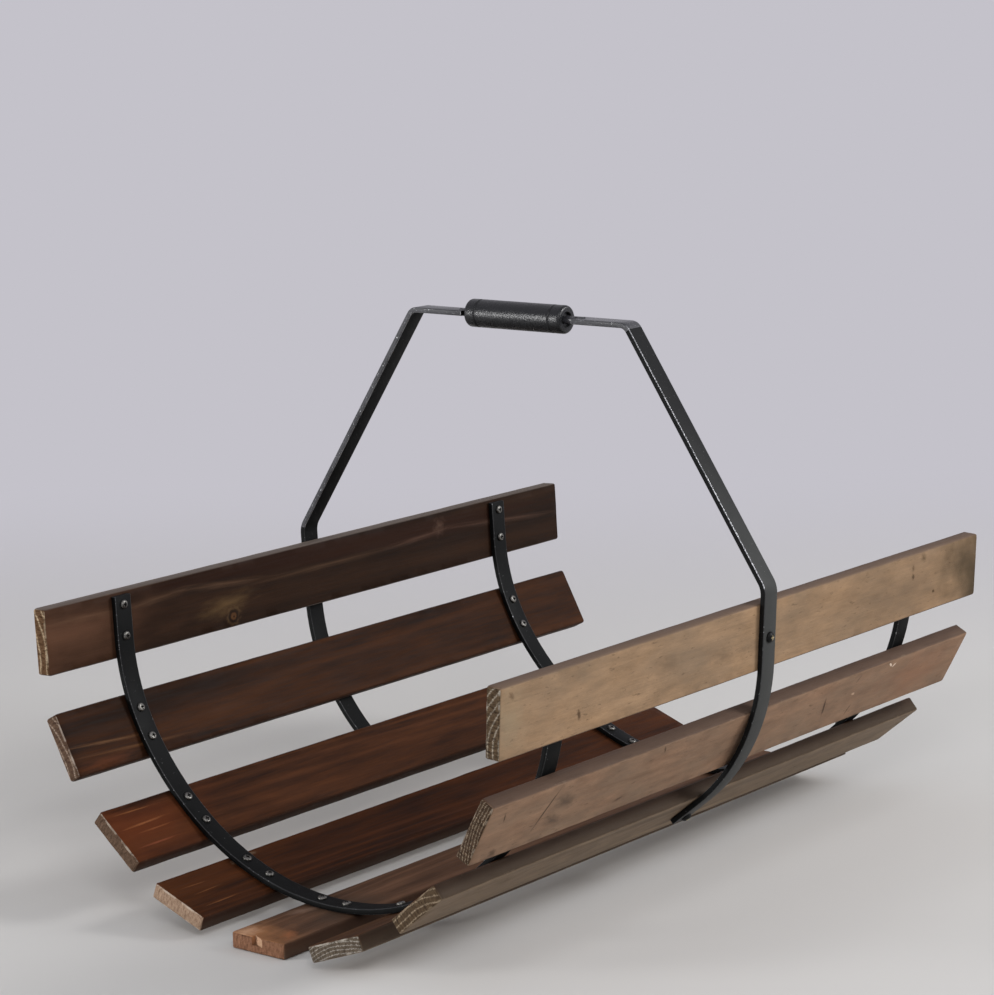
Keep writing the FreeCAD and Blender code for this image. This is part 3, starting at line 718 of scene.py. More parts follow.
def travel(place, heading, runs):
    """Takes the open outline along (length, bend radius, bend angle) runs, and gives the last place."""
    spot = Vector((0, *place))
    for length, radius, bend in runs:
        ahead = Vector((0, math.cos(heading), math.sin(heading)))
        if length > 0:
            bpy.ops.mesh.extrude_region_move(TRANSFORM_OT_translate={"value": ahead * length})
            spot += ahead * length
        if bend:
            inward = math.copysign(1, bend) * Vector((0, -ahead.z, ahead.y))
            centre = spot + radius * inward
            steps = math.ceil(abs(bend) / BEND_STEP)
            bpy.ops.mesh.spin(steps=steps, angle=-bend, center=centre, axis=(1, 0, 0))
            heading += bend
            spot = centre + Matrix.Rotation(bend, 3, "X") @ (spot - centre)
    return spot


def cap_bar(bar):
    """Closes the bar's ends, rounds their rims a little, and smooths the bends."""
    open_piece(bar)
    bpy.ops.mesh.select_all(action="SELECT")
    bpy.ops.mesh.remove_doubles(threshold=MERGE_WITHIN)
    bpy.ops.mesh.fill_holes(sides=0)
    pick("FACE", lambda face: len(face.verts) > 4)
    bpy.ops.mesh.bevel(offset=BAR_END_ROUND, segments=2, affect="EDGES")
    bpy.ops.mesh.select_all(action="SELECT")
    bpy.ops.mesh.normals_make_consistent(inside=False)
    close_piece()
    apply_all(bar)


# %% Bend the two ribs
BED_RADIUS, SIDE_RADIUS = 204.95 * MM, 145.95 * MM
BED_BEND, SIDE_BEND = math.radians(57.5), math.radians(29.5)
RIB_UPRIGHT = 31.5 * MM


def bend_rib(name):
    """Bends the left half of a rib up from the middle of the bed, and mirrors it to the right."""
    low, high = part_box(name)
    start = (0, low.z + BAR_THICK / 2)
    rib = start_bar(name + "_bar", (low.x + high.x) / 2, start, 0)
    top = travel(start, 0, [(0, BED_RADIUS, BED_BEND), (0, SIDE_RADIUS, SIDE_BEND), (RIB_UPRIGHT, 0, 0)])
    close_piece()
    mirror = rib.modifiers.new("other_half", "MIRROR")
    mirror.use_axis = (False, True, False)
    mirror.merge_threshold = MERGE_WITHIN
    apply_all(rib)
    cap_bar(rib)
    print(name, "ends", round(top.z / MM, 1), "mm up, its solid", round(high.z / MM, 1))
    return rib


ribs = {name: bend_rib(name) for name in ("near_rib", "far_rib")}

# %% [markdown]
# ## The bow
# Outside the slats one more bar on each side starts under the middle slat, follows the side up, leans
# inwards over the cradle and bends level to meet the grip's rod. Its bends are given as the corners of its
# middle line and a radius at each corner. A little trigonometry turns those into straight runs and bends.

# %% Bend the left arm and mirror it for the right
BOW_CORNERS = [Vector(corner) * MM for corner in (
    (50.5, 401.5), (98, 401.5), (214.07, 224.25), (207.75, 103.65), (134.5, 43.27)
)]
BOW_RADII = [radius * MM for radius in (8, 16, 149.46)]
bow_low, bow_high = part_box("left_bow_arm")
bow_middle_x = (bow_low.x + bow_high.x) / 2


def bow_runs():
    """The straight runs and bends along the bow's corners, from the grip down."""
    runs, used = [], 0
    for index, radius in enumerate(BOW_RADII):
        before, corner, after = BOW_CORNERS[index:index + 3]
        coming, going = corner - before, after - corner
        bend = math.atan2(coming.cross(going), coming.dot(going))
        tangent = radius * math.tan(abs(bend) / 2)
        runs.append((coming.length - used - tangent, radius, bend))
        used = tangent
    runs.append((going.length - used, 0, 0))
    return runs


left_arm = start_bar("left_bow_arm_bar", bow_middle_x, BOW_CORNERS[0], 0)
foot = travel(BOW_CORNERS[0], 0, bow_runs())
close_piece()
cap_bar(left_arm)
right_arm = copy_of(left_arm, "right_bow_arm_bar")
right_arm.scale = (1, -1, 1)
bpy.ops.object.transform_apply()
open_piece(right_arm)
bpy.ops.mesh.select_all(action="SELECT")
bpy.ops.mesh.normals_make_consistent(inside=False)
close_piece()
arms = {"left_bow_arm": left_arm, "right_bow_arm": right_arm}
print("bow's foot", [round(side / MM, 1) for side in foot.yz], "mm, drawn", [*BOW_CORNERS[-1] / MM])

# %% [markdown]
# ## The welds
# The rod is welded into the end of each arm, and the weld was left as it cooled: a lumpy collar. A torus
# gives the collar, resizing it makes it hug the flat bar's end, and a fine Displace makes lumps.

# %% Run a weld round the rod at each arm
WELD_RADIUS, BEAD_RADIUS = 2.9 * MM, 1.2 * MM
WELD_STRETCH = (1.25, 0.85, 1.1)
WELD_LUMPS = (1.3 * MM, 1.6 * MM)


def run_weld(name, side):
    """Lays a lumpy collar round the rod where it enters one arm."""
    bpy.ops.mesh.primitive_torus_add(
        major_radius=WELD_RADIUS, minor_radius=BEAD_RADIUS, major_segments=40, minor_segments=14
    )
    weld = bpy.context.object
    weld.name = name
    open_piece(weld)
    bpy.ops.mesh.select_all(action="SELECT")
    bpy.ops.transform.resize(value=WELD_STRETCH, center_override=(0, 0, 0))
    close_piece()
    settle(weld, (bow_middle_x, side * BOW_CORNERS[0].x, BOW_CORNERS[0].y), math.radians(90))
    press_in(weld, *WELD_LUMPS)
    apply_all(weld, smooth_below=60)
    return weld


welds = [run_weld(f"{word}_rod_weld", side) for word, side in SIDES.items()]
print("welds:", [weld.name for weld in welds])

# %% [markdown]
# ## Powder coat
# The bar is steel with a satin black powder coat. The powder melts into a skin like fine orange peel, so
# its gloss breaks into grains. Inside the cradle the coat is deep black. Outside, the bow is painted a little
# grey, most of all where it stands upright against the slats: painted light. On the corners the skin is thin
# and rubbed through in bright specks, and along the leaning corners a painted highlight lies over them.
# Beside the grip the bar's top is painted grey as a painted reflection of light from above, and is glossier,
# so that it shows the surroundings at a low angle. Its sides and bends there, and the left arm's leaning
# sides, are painted a softer grey: painted light. Every kind of face is picked by its normal and its place.

# %% Make the coats
PEEL_GRAIN, HANDLING_GRAIN = 1.0 * MM, 28 * MM
BARE_STEEL_CODE = "#b4b5b7"
FADE_TOP, FADE_END = 360 * MM, 210 * MM


def fade_low(tree, place, coat, low_code):
    """Turns a coat to another colour from the bow's leaning part down to its upright part, as painted light.
    """
    height = add_node(tree, "SeparateXYZ", {"Vector": place}, "Z")
    low_down = add_node(tree, "MapRange", {
        "Value": height, "From Min": FADE_TOP, "From Max": FADE_END,
    }, interpolation_type="SMOOTHSTEP")
    return add_node(tree, "Mix", {0: low_down, 6: coat, 7: colour(low_code)}, data_type="RGBA")


def powder_coat(name, dark, pale, dullness, shine, bare_share, low_code=None):
    """Powder coat on steel: a fine orange-peel skin in two tones, with bare specks over a share of it."""
    material, tree, shader = new_material(name)
    place = add_node(tree, "TexCoord", {}, "Object")
    peel = add_node(tree, "TexNoise", {"Vector": place, "Scale": 1 / PEEL_GRAIN, "Detail": 3})
    handling = add_node(tree, "TexNoise", {
        "Vector": place, "Scale": 1 / HANDLING_GRAIN, "Detail": 5, "Roughness": 0.65,
    })
    cloudy = add_node(tree, "MapRange", {"Value": handling, "From Min": 0.35, "From Max": 0.65})
    coat = blend(tree, [(cloudy, 1)], dark, pale)
    if low_code:
        coat = fade_low(tree, place, coat, low_code)
    least_peel = 0.72 - 0.3 * bare_share
    bare = add_node(tree, "MapRange", {"Value": peel, "From Min": least_peel, "From Max": least_peel + 0.08})
    fill_in(shader, {
        "Base Color": add_node(tree, "Mix", {0: bare, 6: coat, 7: colour(BARE_STEEL_CODE)}, data_type="RGBA"),
        "Metallic": bare,
        "Roughness": add_node(tree, "MapRange", {
            "Value": cloudy, "To Min": dullness - 0.05, "To Max": dullness + 0.08,
        }),
        "Specular IOR Level": shine,
        "Normal": add_node(tree, "Bump", {"Strength": 0.35, "Distance": 0.12 * MM, "Height": peel}),
    })
    return material


deep_coat = powder_coat(
    "deep_black_powder_coat", "#0b0c0c", "#151616", dullness=0.55, shine=0.1, bare_share=0
)
# Outside, the bow turns paler grey down its upright part: painted light.
outward_coat_with_painted_light = powder_coat(
    "powder_coat_with_painted_light_low", "#090a0b", "#131415", dullness=0.56, shine=0.15, bare_share=0, low_code="#3c3d3c"
)
corner_coat = powder_coat(
    "powder_coat_thin_on_corners", "#1c1d1e", "#343536", dullness=0.42, shine=0.3, bare_share=0.3
)
# Along the leaning corners: a painted highlight over bare specks of wear.
bare_specks_and_highlight_coat = powder_coat(
    "powder_coat_rubbed_through", "#4c4d50", "#8a8b8f", dullness=0.4, shine=0.5, bare_share=0.85
)
# On the level top beside the grip and on the rod: a painted reflection of light from above.
painted_reflection_coat = powder_coat(
    "powder_coat_with_painted_reflection", "#262629", "#404044", dullness=0.26, shine=0.5, bare_share=0.3
)
# On the sides and bends of the level part: painted light.
painted_side_light_coat = powder_coat(
    "powder_coat_with_painted_side_light", "#2c2c2f", "#4a4a4e", dullness=0.45, shine=0.35, bare_share=0.25
)
print("coats:", sum("powder_coat" in material.name for material in bpy.data.materials))

# %% Coat the bars
# How much a face's normal points along X tells the bar's flat from its rounded corners and its sides.
FLAT_BELOW, SIDE_ABOVE = 0.2, 0.95
BEND_LOW, BEND_HIGH, TOP_ABOVE = 0.58, 0.93, 0.6


def is_flat(face):
    """True for the bar's wide faces."""
    return abs(face.normal.x) < FLAT_BELOW


def is_side(face):
    """True for the bar's narrow faces."""
    return abs(face.normal.x) > SIDE_ABOVE


def is_corner(face):
    """True for the faces that round the bar's long corners."""
    return not is_flat(face) and not is_side(face)


def leans(face):
    """True where the bow leans over the cradle or runs level beside the grip."""
    return face.calc_center_median().z > BOW_CORNERS[2].y


def faces_out(face):
    """True for the faces of the bow that look away from the cradle."""
    outward = face.calc_center_median() - Vector((bow_middle_x, 0, BOW_CORNERS[2].y))
    return is_flat(face) and face.normal.dot(outward) > 0


def gets_painted_side_light(face):
    """True for the sides of the bow's level part and the flat of the bends at its ends, which get painted
    light.
    """
    is_bend = is_flat(face) and BEND_LOW < face.normal.z < BEND_HIGH
    return (is_side(face) or is_bend) and face.calc_center_median().z > BOW_CORNERS[0].y - 2 * BAR_THICK


def gets_painted_reflection(face):
    """True for the level top of the bow beside the grip, which gets a painted reflection of light from above.
    """
    return face.normal.z > TOP_ABOVE and face.calc_center_median().z > BOW_CORNERS[0].y


for rib in ribs.values():
    give(rib, [deep_coat, corner_coat])
    paint_faces(rib, 1, is_corner)
for arm in arms.values():
    give(arm, [deep_coat, corner_coat, outward_coat_with_painted_light, bare_specks_and_highlight_coat, painted_reflection_coat, painted_side_light_coat])
    paint_faces(arm, 1, is_corner)
    paint_faces(arm, 2, faces_out)
    # The leaning corners get the painted highlight.
    paint_faces(arm, 3, lambda face: is_corner(face) and leans(face))
    paint_faces(arm, 4, gets_painted_reflection)
    paint_faces(arm, 5, gets_painted_side_light)
# The left arm's leaning sides get painted light as well.
paint_faces(left_arm, 5, lambda face: is_side(face) and leans(face))
for weld in welds:
    give(weld, [deep_coat])
# The rod gets the painted reflection too.
give(bpy.data.objects["handle_rod"], [painted_reflection_coat])
print("coated pieces:", len(ribs) + len(arms) + len(welds) + 1)

# %% [markdown]
# ## The grip
# The grip is a turned wooden roll, painted black, with a thin groove near each end and a wider mouth where
# the rod goes in. Turned work is a stack of rings: a circle is extruded along the axis and resized, ring
# after ring, out of the bore, down the outside and back into the bore, and the last ring meets the first.

# %% Turn the grip from rings
grip_low, grip_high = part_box("grip")
grip_length = grip_high.y - grip_low.y
grip_radius = (grip_high.x - grip_low.x) / 2
grip_middle = (grip_low + grip_high) / 2
GRIP_ROUND = 2.4 * MM
GROOVE_INSET, GROOVE_WIDTH, GROOVE_DEPTH = 10 * MM, 1.6 * MM, 1.0 * MM
GROOVE_SHAPE = ((-0.7, 0), (-0.4, 0.7), (-0.15, 1), (0.15, 1), (0.4, 0.7), (0.7, 0))
MOUTH_RADIUS, MOUTH_DEPTH, MOUTH_EASE = 5.5 * MM, 2.5 * MM, 0.5 * MM
BORE_RADIUS = 3.1 * MM
PLAIN_START, PLAIN_STEP = 14 * MM, 2 * MM
GRIP_DENTS = (0.12 * MM, 3 * MM)
GRIP_SIDES = 72


def half_grip_rings():
    """Rings (distance from the grip's end, radius) from the bore's mouth out and along to the middle."""
    rings = [(MOUTH_DEPTH, BORE_RADIUS), (MOUTH_DEPTH, MOUTH_RADIUS), (MOUTH_EASE, MOUTH_RADIUS)]
    rings.append((0, MOUTH_RADIUS + MOUTH_EASE))
    for degrees in range(90, -1, -15):
        sunk = GRIP_ROUND * (1 - math.cos(math.radians(degrees)))
        rings.append((GRIP_ROUND * (1 - math.sin(math.radians(degrees))), grip_radius - sunk))
    for along, share in GROOVE_SHAPE:
        rings.append((GROOVE_INSET + along * GROOVE_WIDTH, grip_radius - share * GROOVE_DEPTH))
    plain_rings = round((grip_length / 2 - PLAIN_START) / PLAIN_STEP)
    return rings + [(PLAIN_START + index * PLAIN_STEP, grip_radius) for index in range(plain_rings)]


def stack_rings(name, rings, sides):
    """Extrudes and resizes a circle through (height, radius) rings along Z, and leaves the piece open."""
    height, radius = rings[0]
    bpy.ops.mesh.primitive_circle_add(vertices=sides, radius=radius, location=(0, 0, height))
    bpy.ops.object.transform_apply()
    piece = bpy.context.object
    piece.name = name
    open_piece(piece)
    bpy.ops.mesh.select_all(action="SELECT")
    for next_height, next_radius in rings[1:]:
        rise = (0, 0, next_height - height)
        bpy.ops.mesh.extrude_region_move(TRANSFORM_OT_translate={"value": rise})
        growth = next_radius / radius
        bpy.ops.transform.resize(value=(growth, growth, 1), center_override=(0, 0, next_height))
        height, radius = next_height, next_radius
    return piece


near_half = half_grip_rings()
far_half = [(grip_length - along, radius) for along, radius in reversed(near_half)]
grip = stack_rings("grip_roll", near_half + far_half + near_half[:1], GRIP_SIDES)
bpy.ops.mesh.select_all(action="SELECT")
bpy.ops.mesh.remove_doubles(threshold=MERGE_WITHIN)
bpy.ops.mesh.normals_make_consistent(inside=False)
close_piece()
settle(grip, (grip_middle.x, grip_high.y, grip_middle.z), math.radians(90))
press_in(grip, *GRIP_DENTS)
apply_all(grip)
print("grip:", len(grip.data.polygons), "faces, from", 2 * len(near_half), "rings")

# %% [markdown]
# ## The grip's paint
# Thick black paint on wood dries with a grainy skin. Seen from a step away the grains can't be told apart,
# but they break the highlight along the roll into sparkles. So bump and gloss follow one noise, which is
# drawn coarser than the real grains so that it shows.

# %% Paint the grip
SKIN_GRAIN = 1.4 * MM


def grainy_paint():
    """Thick satin black paint on turned wood: a grainy skin that breaks the highlight into sparkles."""
    material, tree, shader = new_material("grainy_black_paint")
    place = add_node(tree, "TexCoord", {}, "Object")
    skin = add_node(tree, "TexNoise", {
        "Vector": place, "Scale": 1 / SKIN_GRAIN, "Detail": 5, "Roughness": 0.65,
    })
    fill_in(shader, {
        "Base Color": blend(tree, [(skin, 1)], "#08090a", "#1c1e21"),
        "Roughness": add_node(tree, "MapRange", {
            "Value": skin, "From Min": 0.3, "From Max": 0.7, "To Min": 0.2, "To Max": 0.4,
        }),
        "Specular IOR Level": 0.45,
        "Normal": add_node(tree, "Bump", {"Strength": 0.6, "Distance": 0.35 * MM, "Height": skin}),
    })
    return material


give(grip, [grainy_paint()])
print("grip paint:", grip.data.materials[0].name)

# %% [markdown]
# ## The screws
# Two bright pan-head screws hold each slat to each rib, and two black dome-head ones hold the bow on each
# side. A head is another stack of rings, closed at the top. Its cross recess is cut with a Boolean: the
# cutter is a box whose lower face is resized for the taper, and a second box turned by a right angle.

# %% Turn a head and cut its cross
# A ring is its height above the seat and its radius. A cross is its span, its bars' width, the height of its
# top and its depth. All are in millimetres.
PAN_RINGS = [
    (-4, 1.6), (0, 1.6), (0.001, 3.1), (0.15, 3.25), (0.8, 3.25), (1.15, 3.15), (1.5, 2.9), (1.8, 2.4),
    (1.95, 1.8), (2.0, 0.9),
]
DOME_RINGS = [
    (-4, 2.0), (0, 2.0), (0.001, 3.95), (0.2, 4.1), (0.6, 4.08), (1.1, 3.85), (1.7, 3.3), (2.2, 2.6),
    (2.55, 1.8), (2.75, 0.9),
]
PAN_CROSS, DOME_CROSS = (4.6, 1.6, 2.0, 1.4), (5.2, 1.5, 2.8, 1.7)
HEAD_SIDES = 32
CROSS_TAPER = (0.45, 0.45, 1)


def cross_cutter(span, width, top, depth):
    """Makes the tapered cross that cuts a recess of a given span and depth below the top of a head."""
    bars = []
    for turn in (0, math.radians(90)):
        bpy.ops.mesh.primitive_cube_add(
            size=1, scale=(span, width, 2 * depth), location=(0, 0, top), rotation=(0, 0, turn)
        )
        bpy.ops.object.transform_apply()
        open_piece(bpy.context.object)
        pick("FACE", lambda face: face.normal.z < -0.9)
        bpy.ops.transform.resize(value=CROSS_TAPER, center_override=(0, 0, top - depth))
        bars.append(close_piece())
    combine(bars[0], bars[1], "UNION")
    return bars[0]


def turn_head(name, rings, cross):
    """Turns a screw head whose seat is at the origin, and cuts its cross recess."""
    head = stack_rings(name, [(height * MM, radius * MM) for height, radius in rings], HEAD_SIDES)
    bpy.ops.mesh.select_all(action="SELECT")
    bpy.ops.mesh.fill_holes(sides=0)
    bpy.ops.mesh.normals_make_consistent(inside=False)
    close_piece()
    combine(head, cross_cutter(*[size * MM for size in cross]), "DIFFERENCE")
    return head


pan_head = turn_head("pan_head", PAN_RINGS, PAN_CROSS)
dome_head = turn_head("dome_head", DOME_RINGS, DOME_CROSS)
print("pan head:", len(pan_head.data.polygons), "faces, dome head:", len(dome_head.data.polygons))

# %% [markdown]
# ## Plated and blackened heads
# The rib screws are zinc plated, bright with a soft haze, and their recesses are painted dark: dirt and
# painted shade. The bow's screws are black, and their recesses are painted pale: bare metal rubbed by the
# driver, with a painted glint. The recess is what the cut left inside the head: faces near its axis that
# stand upright, or that lie at the cut's floor.

# %% Plate the heads
HAZE_GRAIN = 0.9 * MM


def screw_finish(name, dark, pale, metal, dullness, shine):
    """A plated or blackened screw: two tones in fine haze, with a soft gloss."""
    material, tree, shader = new_material(name)
    place = add_node(tree, "TexCoord", {}, "Object")
    haze = add_node(tree, "TexNoise", {
        "Vector": place, "Scale": 1 / HAZE_GRAIN, "Detail": 4, "Roughness": 0.65,
    })
    share = add_node(tree, "MapRange", {"Value": haze, "From Min": 0.4, "From Max": 0.62})
    fill_in(shader, {
        "Base Color": blend(tree, [(share, 1)], dark, pale),
        "Metallic": metal,
        "Roughness": add_node(tree, "MapRange", {
            "Value": haze, "To Min": dullness, "To Max": dullness + 0.2,
        }),
        "Specular IOR Level": shine,
        "Normal": add_node(tree, "Bump", {"Strength": 0.3, "Distance": 0.08 * MM, "Height": haze}),
    })
    return material


def finish_head(head, cross, materials):
    """Gives a head its finish, and its recess another."""
    span, _, top, depth = [size * MM for size in cross]
    floor_height = top - 0.9 * depth

    def is_recess(face):
        """True for the recess's walls and its floor."""
        middle = face.calc_center_median()
        inside = middle.xy.length < 0.55 * span and middle.z > 0
        return inside and (abs(face.normal.z) < 0.6 or middle.z < floor_height)

    give(head, materials)
    paint_faces(head, 1, is_recess)


zinc = screw_finish(
    "bright_zinc_plate", "#5c5b58", "#8a8882", metal=1, dullness=0.32, shine=0.5
)
# Dirt and painted shade inside the pan heads' recesses.
recess_dirt_and_shade = screw_finish(
    "dirt_and_painted_shade_in_the_recess", "#0d0c0a", "#1e1b17", metal=0, dullness=0.6, shine=0.2
)
blackened = screw_finish(
    "blackened_screw", "#050505", "#0e0f0f", metal=0, dullness=0.35, shine=0.15
)
# Bare metal rubbed by the driver, painted near white as a glint.
rubbed_recess_with_glint = screw_finish(
    "recess_rubbed_bare_with_painted_glint", "#8a8068", "#fff3d6", metal=0.4, dullness=0.25, shine=0.5
)
finish_head(pan_head, PAN_CROSS, [zinc, recess_dirt_and_shade])
finish_head(dome_head, DOME_CROSS, [blackened, rubbed_recess_with_glint])
print("recess faces:", sum(face.material_index for face in pan_head.data.polygons))

# %% [markdown]
# ## Putting the screws in
# A slat's screws stand square to the arch, 23 mm apart along it. Each slat's screws are one node, so a
# head is copied four times for each slat and the four are joined into one piece. The places follow the
# arch that the slats lie on: a wide arc under the bed, a tighter one up the sides, then straight up.

# %% Find the screws' places on the arch
ARCH_BED, ARCH_SIDE = 207 * MM, 148 * MM
SCREW_PITCH = 23 * MM
RIB_SEAT, BOW_SEAT = 4.1 * MM, 16.2 * MM
TOP_RISE, TOP_SCREW_LIFT = 10 * MM, 3.5 * MM
bed_centre = Vector((0, slat_high.z + ARCH_BED))
side_centre = bed_centre + (ARCH_BED - ARCH_SIDE) * Vector((math.sin(BED_BEND), -math.cos(BED_BEND)))


def arch_point(turn):
    """The point (y, z) on the slats' inner faces where the left side leans by a turn."""
    outward = Vector((math.sin(turn), -math.cos(turn)))
    if turn > BED_BEND:
        return side_centre + ARCH_SIDE * outward
    return bed_centre + ARCH_BED * outward


def upright_point(rise):
    """The point (y, z) on the top slat's inner face, a rise above the end of the arch."""
    turn = math.radians(ROW_TURNS["top"])
    return arch_point(turn) + rise * Vector((math.cos(turn), math.sin(turn)))


def screw_places(row):
    """(point, turn) of a row's two screws at a rib, on the left side."""
    turn = math.radians(ROW_TURNS[row])
    halves = (-SCREW_PITCH / 2, SCREW_PITCH / 2)
    if row == "top":
        return [(upright_point(TOP_RISE + TOP_SCREW_LIFT + half), turn) for half in halves]
    radius = ARCH_SIDE if turn > BED_BEND else ARCH_BED
    return [(arch_point(turn + half / radius), turn + half / radius) for half in halves]


# %% Drive them through the ribs and the bow
def drive(head, x, point, turn, side, seat):
    """Puts a copy of a head in at a point of the arch. Its seat is inward of it, or outward if negative."""
    spot = point - seat * Vector((math.sin(turn), -math.cos(turn)))
    screw = copy_of(head, "screw")
    lean = side * turn if seat > 0 else side * turn + math.pi
    settle(screw, (x, side * spot.x, spot.y), lean)
    return screw


def join(screws, name):
    """Joins driven screws into one piece."""
    choose(screws[0])
    for screw in screws:
        screw.select_set(True)
    bpy.ops.object.join()
    joined = bpy.context.object
    joined.name = name
    apply_all(joined)
    return joined


rib_middles = [sum(corner.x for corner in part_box(name)) / 2 for name in ribs]
screw_groups = {}
for name in slat_names:
    words = name.split("_")
    driven = [
        drive(pan_head, x, point, turn, SIDES.get(words[0], 1), RIB_SEAT)
        for x in rib_middles for point, turn in screw_places(words[-2])
    ]
    screw_groups[name + "_screws"] = join(driven, name + "_screw_heads")
top_turn, middle_turn = [math.radians(ROW_TURNS[row]) for row in ("top", "middle")]
bow_places = [(upright_point(TOP_RISE), top_turn), (arch_point(middle_turn), middle_turn)]
for word, side in SIDES.items():
    driven = [drive(dome_head, bow_middle_x, point, turn, side, -BOW_SEAT) for point, turn in bow_places]
    screw_groups[word + "_bow_screws"] = join(driven, word + "_bow_screw_heads")
bpy.data.objects.remove(pan_head)
bpy.data.objects.remove(dome_head)
print("screw groups:", len(screw_groups))

# %% [markdown]
# ## Light, floor and camera
# The rack stands on a pale floor that sweeps up into a backdrop, with more ground around it. Near the rack
# the floor takes light and shadow. Further away it fades into one even colour that only rays which show a
# background see, so the studio is plain from every side without more light on the rack. The key lamp stands
# to the right, so the rack throws a soft shadow to its left. A weaker lamp above the camera lights the sawn
# ends, and one low on the left lays a streak along the grip. The camera was solved from the slats' corners.

# %% Build the floor and backdrop
VIEW_TURN = math.radians(-51.742)
VIEW_AHEAD = Vector((-math.sin(VIEW_TURN), math.cos(VIEW_TURN), 0))
BACKDROP_CODE, FLOOR_CODE = "#c4c2ca", "#dad8d6"
BEHIND_FADE, AROUND_FADE = (0.35, 1.6), (0.8, 1.7)
FLOOR_SIZE, BACKDROP_HEIGHT, SWEEP_RADIUS = (9, 5, 1), 4, 0.8
GROUND_SIZE, GROUND_DROP = 60, 2 * MM


def seen_rays(tree):
    """Adds a mask of the rays that show a background: straight to the eye, mirrored or let through."""
    rays = add_node(tree, "LightPath", {}).node.outputs
    shown = add_node(tree, "Math", {0: rays["Is Camera Ray"], 1: rays["Is Glossy Ray"]}, operation="ADD")
    return add_node(tree, "Math", {
        0: shown, 1: rays["Is Transmission Ray"],
    }, operation="ADD", use_clamp=True)


def studio_paint():
    """Pale matt paint that takes light and shadow near the rack, and fades into the even backdrop."""
    material, tree, shader = new_material("pale_studio_paint")
    place = add_node(tree, "TexCoord", {}, "Object")
    behind = add_node(tree, "VectorMath", {0: place, 1: VIEW_AHEAD}, operation="DOT_PRODUCT")
    around = add_node(tree, "VectorMath", {0: place}, operation="LENGTH")
    fades = [
        add_node(tree, "MapRange", {
            "Value": distance, "From Min": near, "From Max": far,
        }, interpolation_type="SMOOTHSTEP")
        for distance, (near, far) in ((behind, BEHIND_FADE), (around, AROUND_FADE))
    ]
    faded = add_node(tree, "Math", {0: fades[0], 1: fades[1]}, operation="MAXIMUM")
    share = add_node(tree, "Math", {0: faded, 1: seen_rays(tree)}, operation="MULTIPLY")
    fill_in(shader, {"Base Color": colour(FLOOR_CODE), "Roughness": 0.85})
    even = add_node(tree, "Emission", {"Color": colour(BACKDROP_CODE)})
    mix = add_node(tree, "MixShader", {0: share, 1: shader.outputs["BSDF"], 2: even})
    fill_in(tree.nodes["Material Output"], {"Surface": mix})
    return material


bpy.ops.mesh.primitive_plane_add(size=1)
floor = bpy.context.object
floor.name = "studio_floor"
floor.scale = FLOOR_SIZE
bpy.ops.object.transform_apply()
open_piece(floor)
sweep_start = FLOOR_SIZE[1] / 2 - SWEEP_RADIUS
pick("EDGE", lambda edge: min(vertex.co.y for vertex in edge.verts) > sweep_start)
bpy.ops.mesh.extrude_region_move(TRANSFORM_OT_translate={"value": (0, 0, BACKDROP_HEIGHT)})
pick("EDGE", lambda edge: all(vertex.co.y > sweep_start and vertex.co.z == 0 for vertex in edge.verts))
bpy.ops.mesh.bevel(offset=SWEEP_RADIUS, segments=16, affect="EDGES")
close_piece()
floor.rotation_euler = (0, 0, VIEW_TURN)
bpy.ops.object.transform_apply()
bpy.ops.object.shade_smooth()
bpy.ops.mesh.primitive_plane_add(size=GROUND_SIZE, location=(0, 0, -GROUND_DROP))
ground = bpy.context.object
ground.name = "studio_ground"
bpy.ops.object.transform_apply()
studio_finish = studio_paint()
for stage in (floor, ground):
    give(stage, [studio_finish])
print("floor and backdrop:", len(floor.data.polygons), "faces")

# %% Hang the lamps
LAMP_AIM = Vector((0, 0, 0.18))
AIR_CODE, AIR_STRENGTH = "#f6f7fb", 0.4


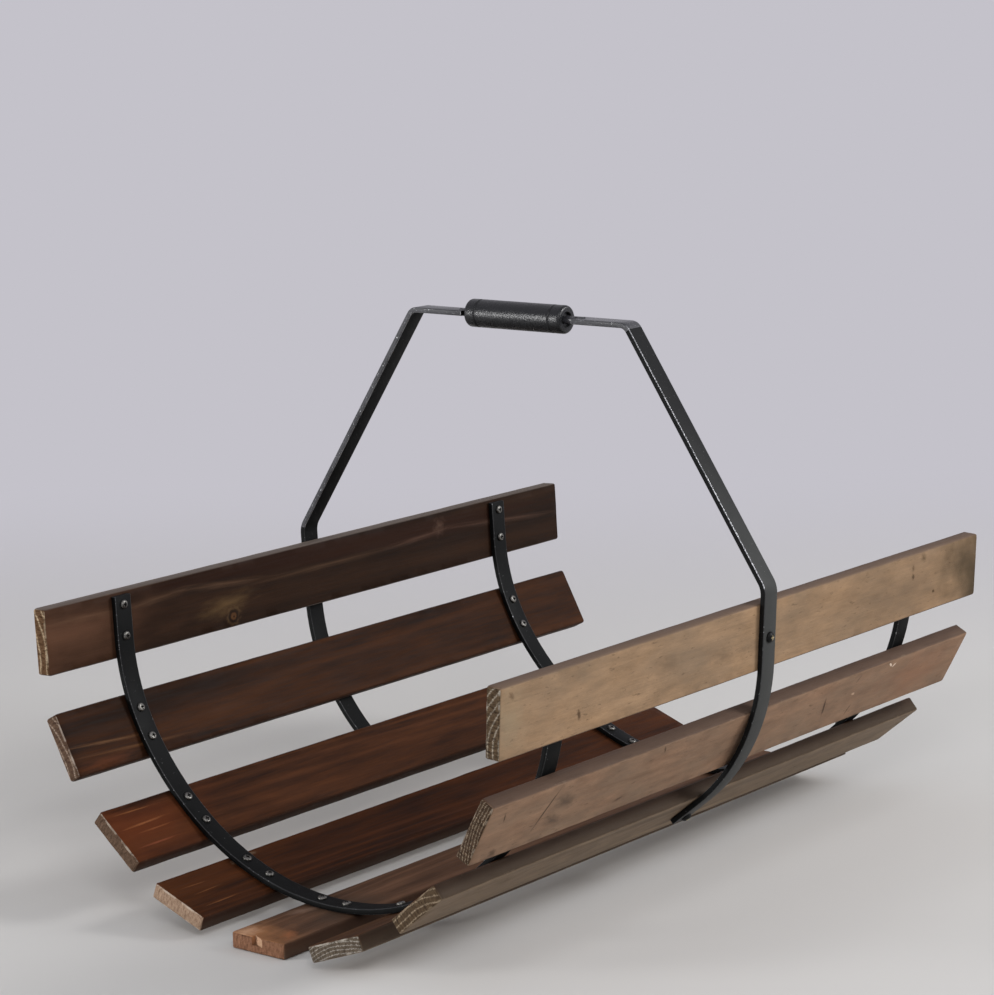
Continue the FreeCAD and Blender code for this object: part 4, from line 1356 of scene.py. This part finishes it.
def hang_lamp(name, place, side, watts):
    """Hangs a square soft lamp and points it at the middle of the rack."""
    lamp = bpy.data.lights.new(name, "AREA")
    lamp.shape = "SQUARE"
    lamp.size = side
    lamp.energy = watts
    hung = bpy.data.objects.new(name, lamp)
    hung.location = place
    hung.rotation_euler = (Vector(place) - LAMP_AIM).to_track_quat("Z", "Y").to_euler()
    bpy.context.collection.objects.link(hung)


hang_lamp("key_lamp", (1.4, -2.1, 1.4), side=0.9, watts=46)
hang_lamp("camera_lamp", (-1.9, -1.7, 1.9), side=0.9, watts=17)
hang_lamp("left_lamp", (-1.9, 1.25, 0.55), side=0.5, watts=22)
world = bpy.data.worlds.new("studio_air")
bpy.context.scene.world = world
world.use_nodes = True
air = world.node_tree
soft_light = air.nodes["Background"]
fill_in(soft_light, {"Color": colour(AIR_CODE), "Strength": AIR_STRENGTH})
even_air = add_node(air, "Background", {"Color": colour(BACKDROP_CODE)})
shown_air = add_node(air, "MixShader", {
    0: seen_rays(air), 1: soft_light.outputs["Background"], 2: even_air,
})
fill_in(air.nodes["World Output"], {"Surface": shown_air})
print("lamps:", [thing.name for thing in bpy.data.objects if thing.type == "LIGHT"])

# %% Set up the camera
EYE = Vector((-1771.88, -1374.71, 676.37)) * MM
VIEW_TILT, VIEW_ROLL = math.radians(10.315), math.radians(-1.124)
back = Vector((math.sin(VIEW_TURN), -math.cos(VIEW_TURN), math.tan(VIEW_TILT))).normalized()
lens = bpy.data.cameras.new("photo_view")
lens.sensor_width = 36
lens.lens = 112.08
camera = bpy.data.objects.new("photo_view", lens)
camera.location = EYE
level = back.to_track_quat("Z", "Y").to_matrix()
camera.rotation_euler = (level @ Matrix.Rotation(VIEW_ROLL, 3, "Z")).to_euler()
bpy.context.collection.objects.link(camera)
bpy.context.scene.camera = camera
bpy.context.scene.view_settings.view_transform = "Standard"
print("camera is", round(EYE.length, 2), "m away")

# %% [markdown]
# ## Hand the pieces over
# Each new piece stands for a imported node and rides on that node's body, so it moves as the mechanism does:
# only the grip turns.

# %% Ride and replace
for node, piece in {**slats, **ribs, **arms, **screw_groups, "grip": grip}.items():
    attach(piece, "turning_grip" if node == "grip" else "rack")
    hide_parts(node)
for weld in welds:
    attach(weld, "rack")
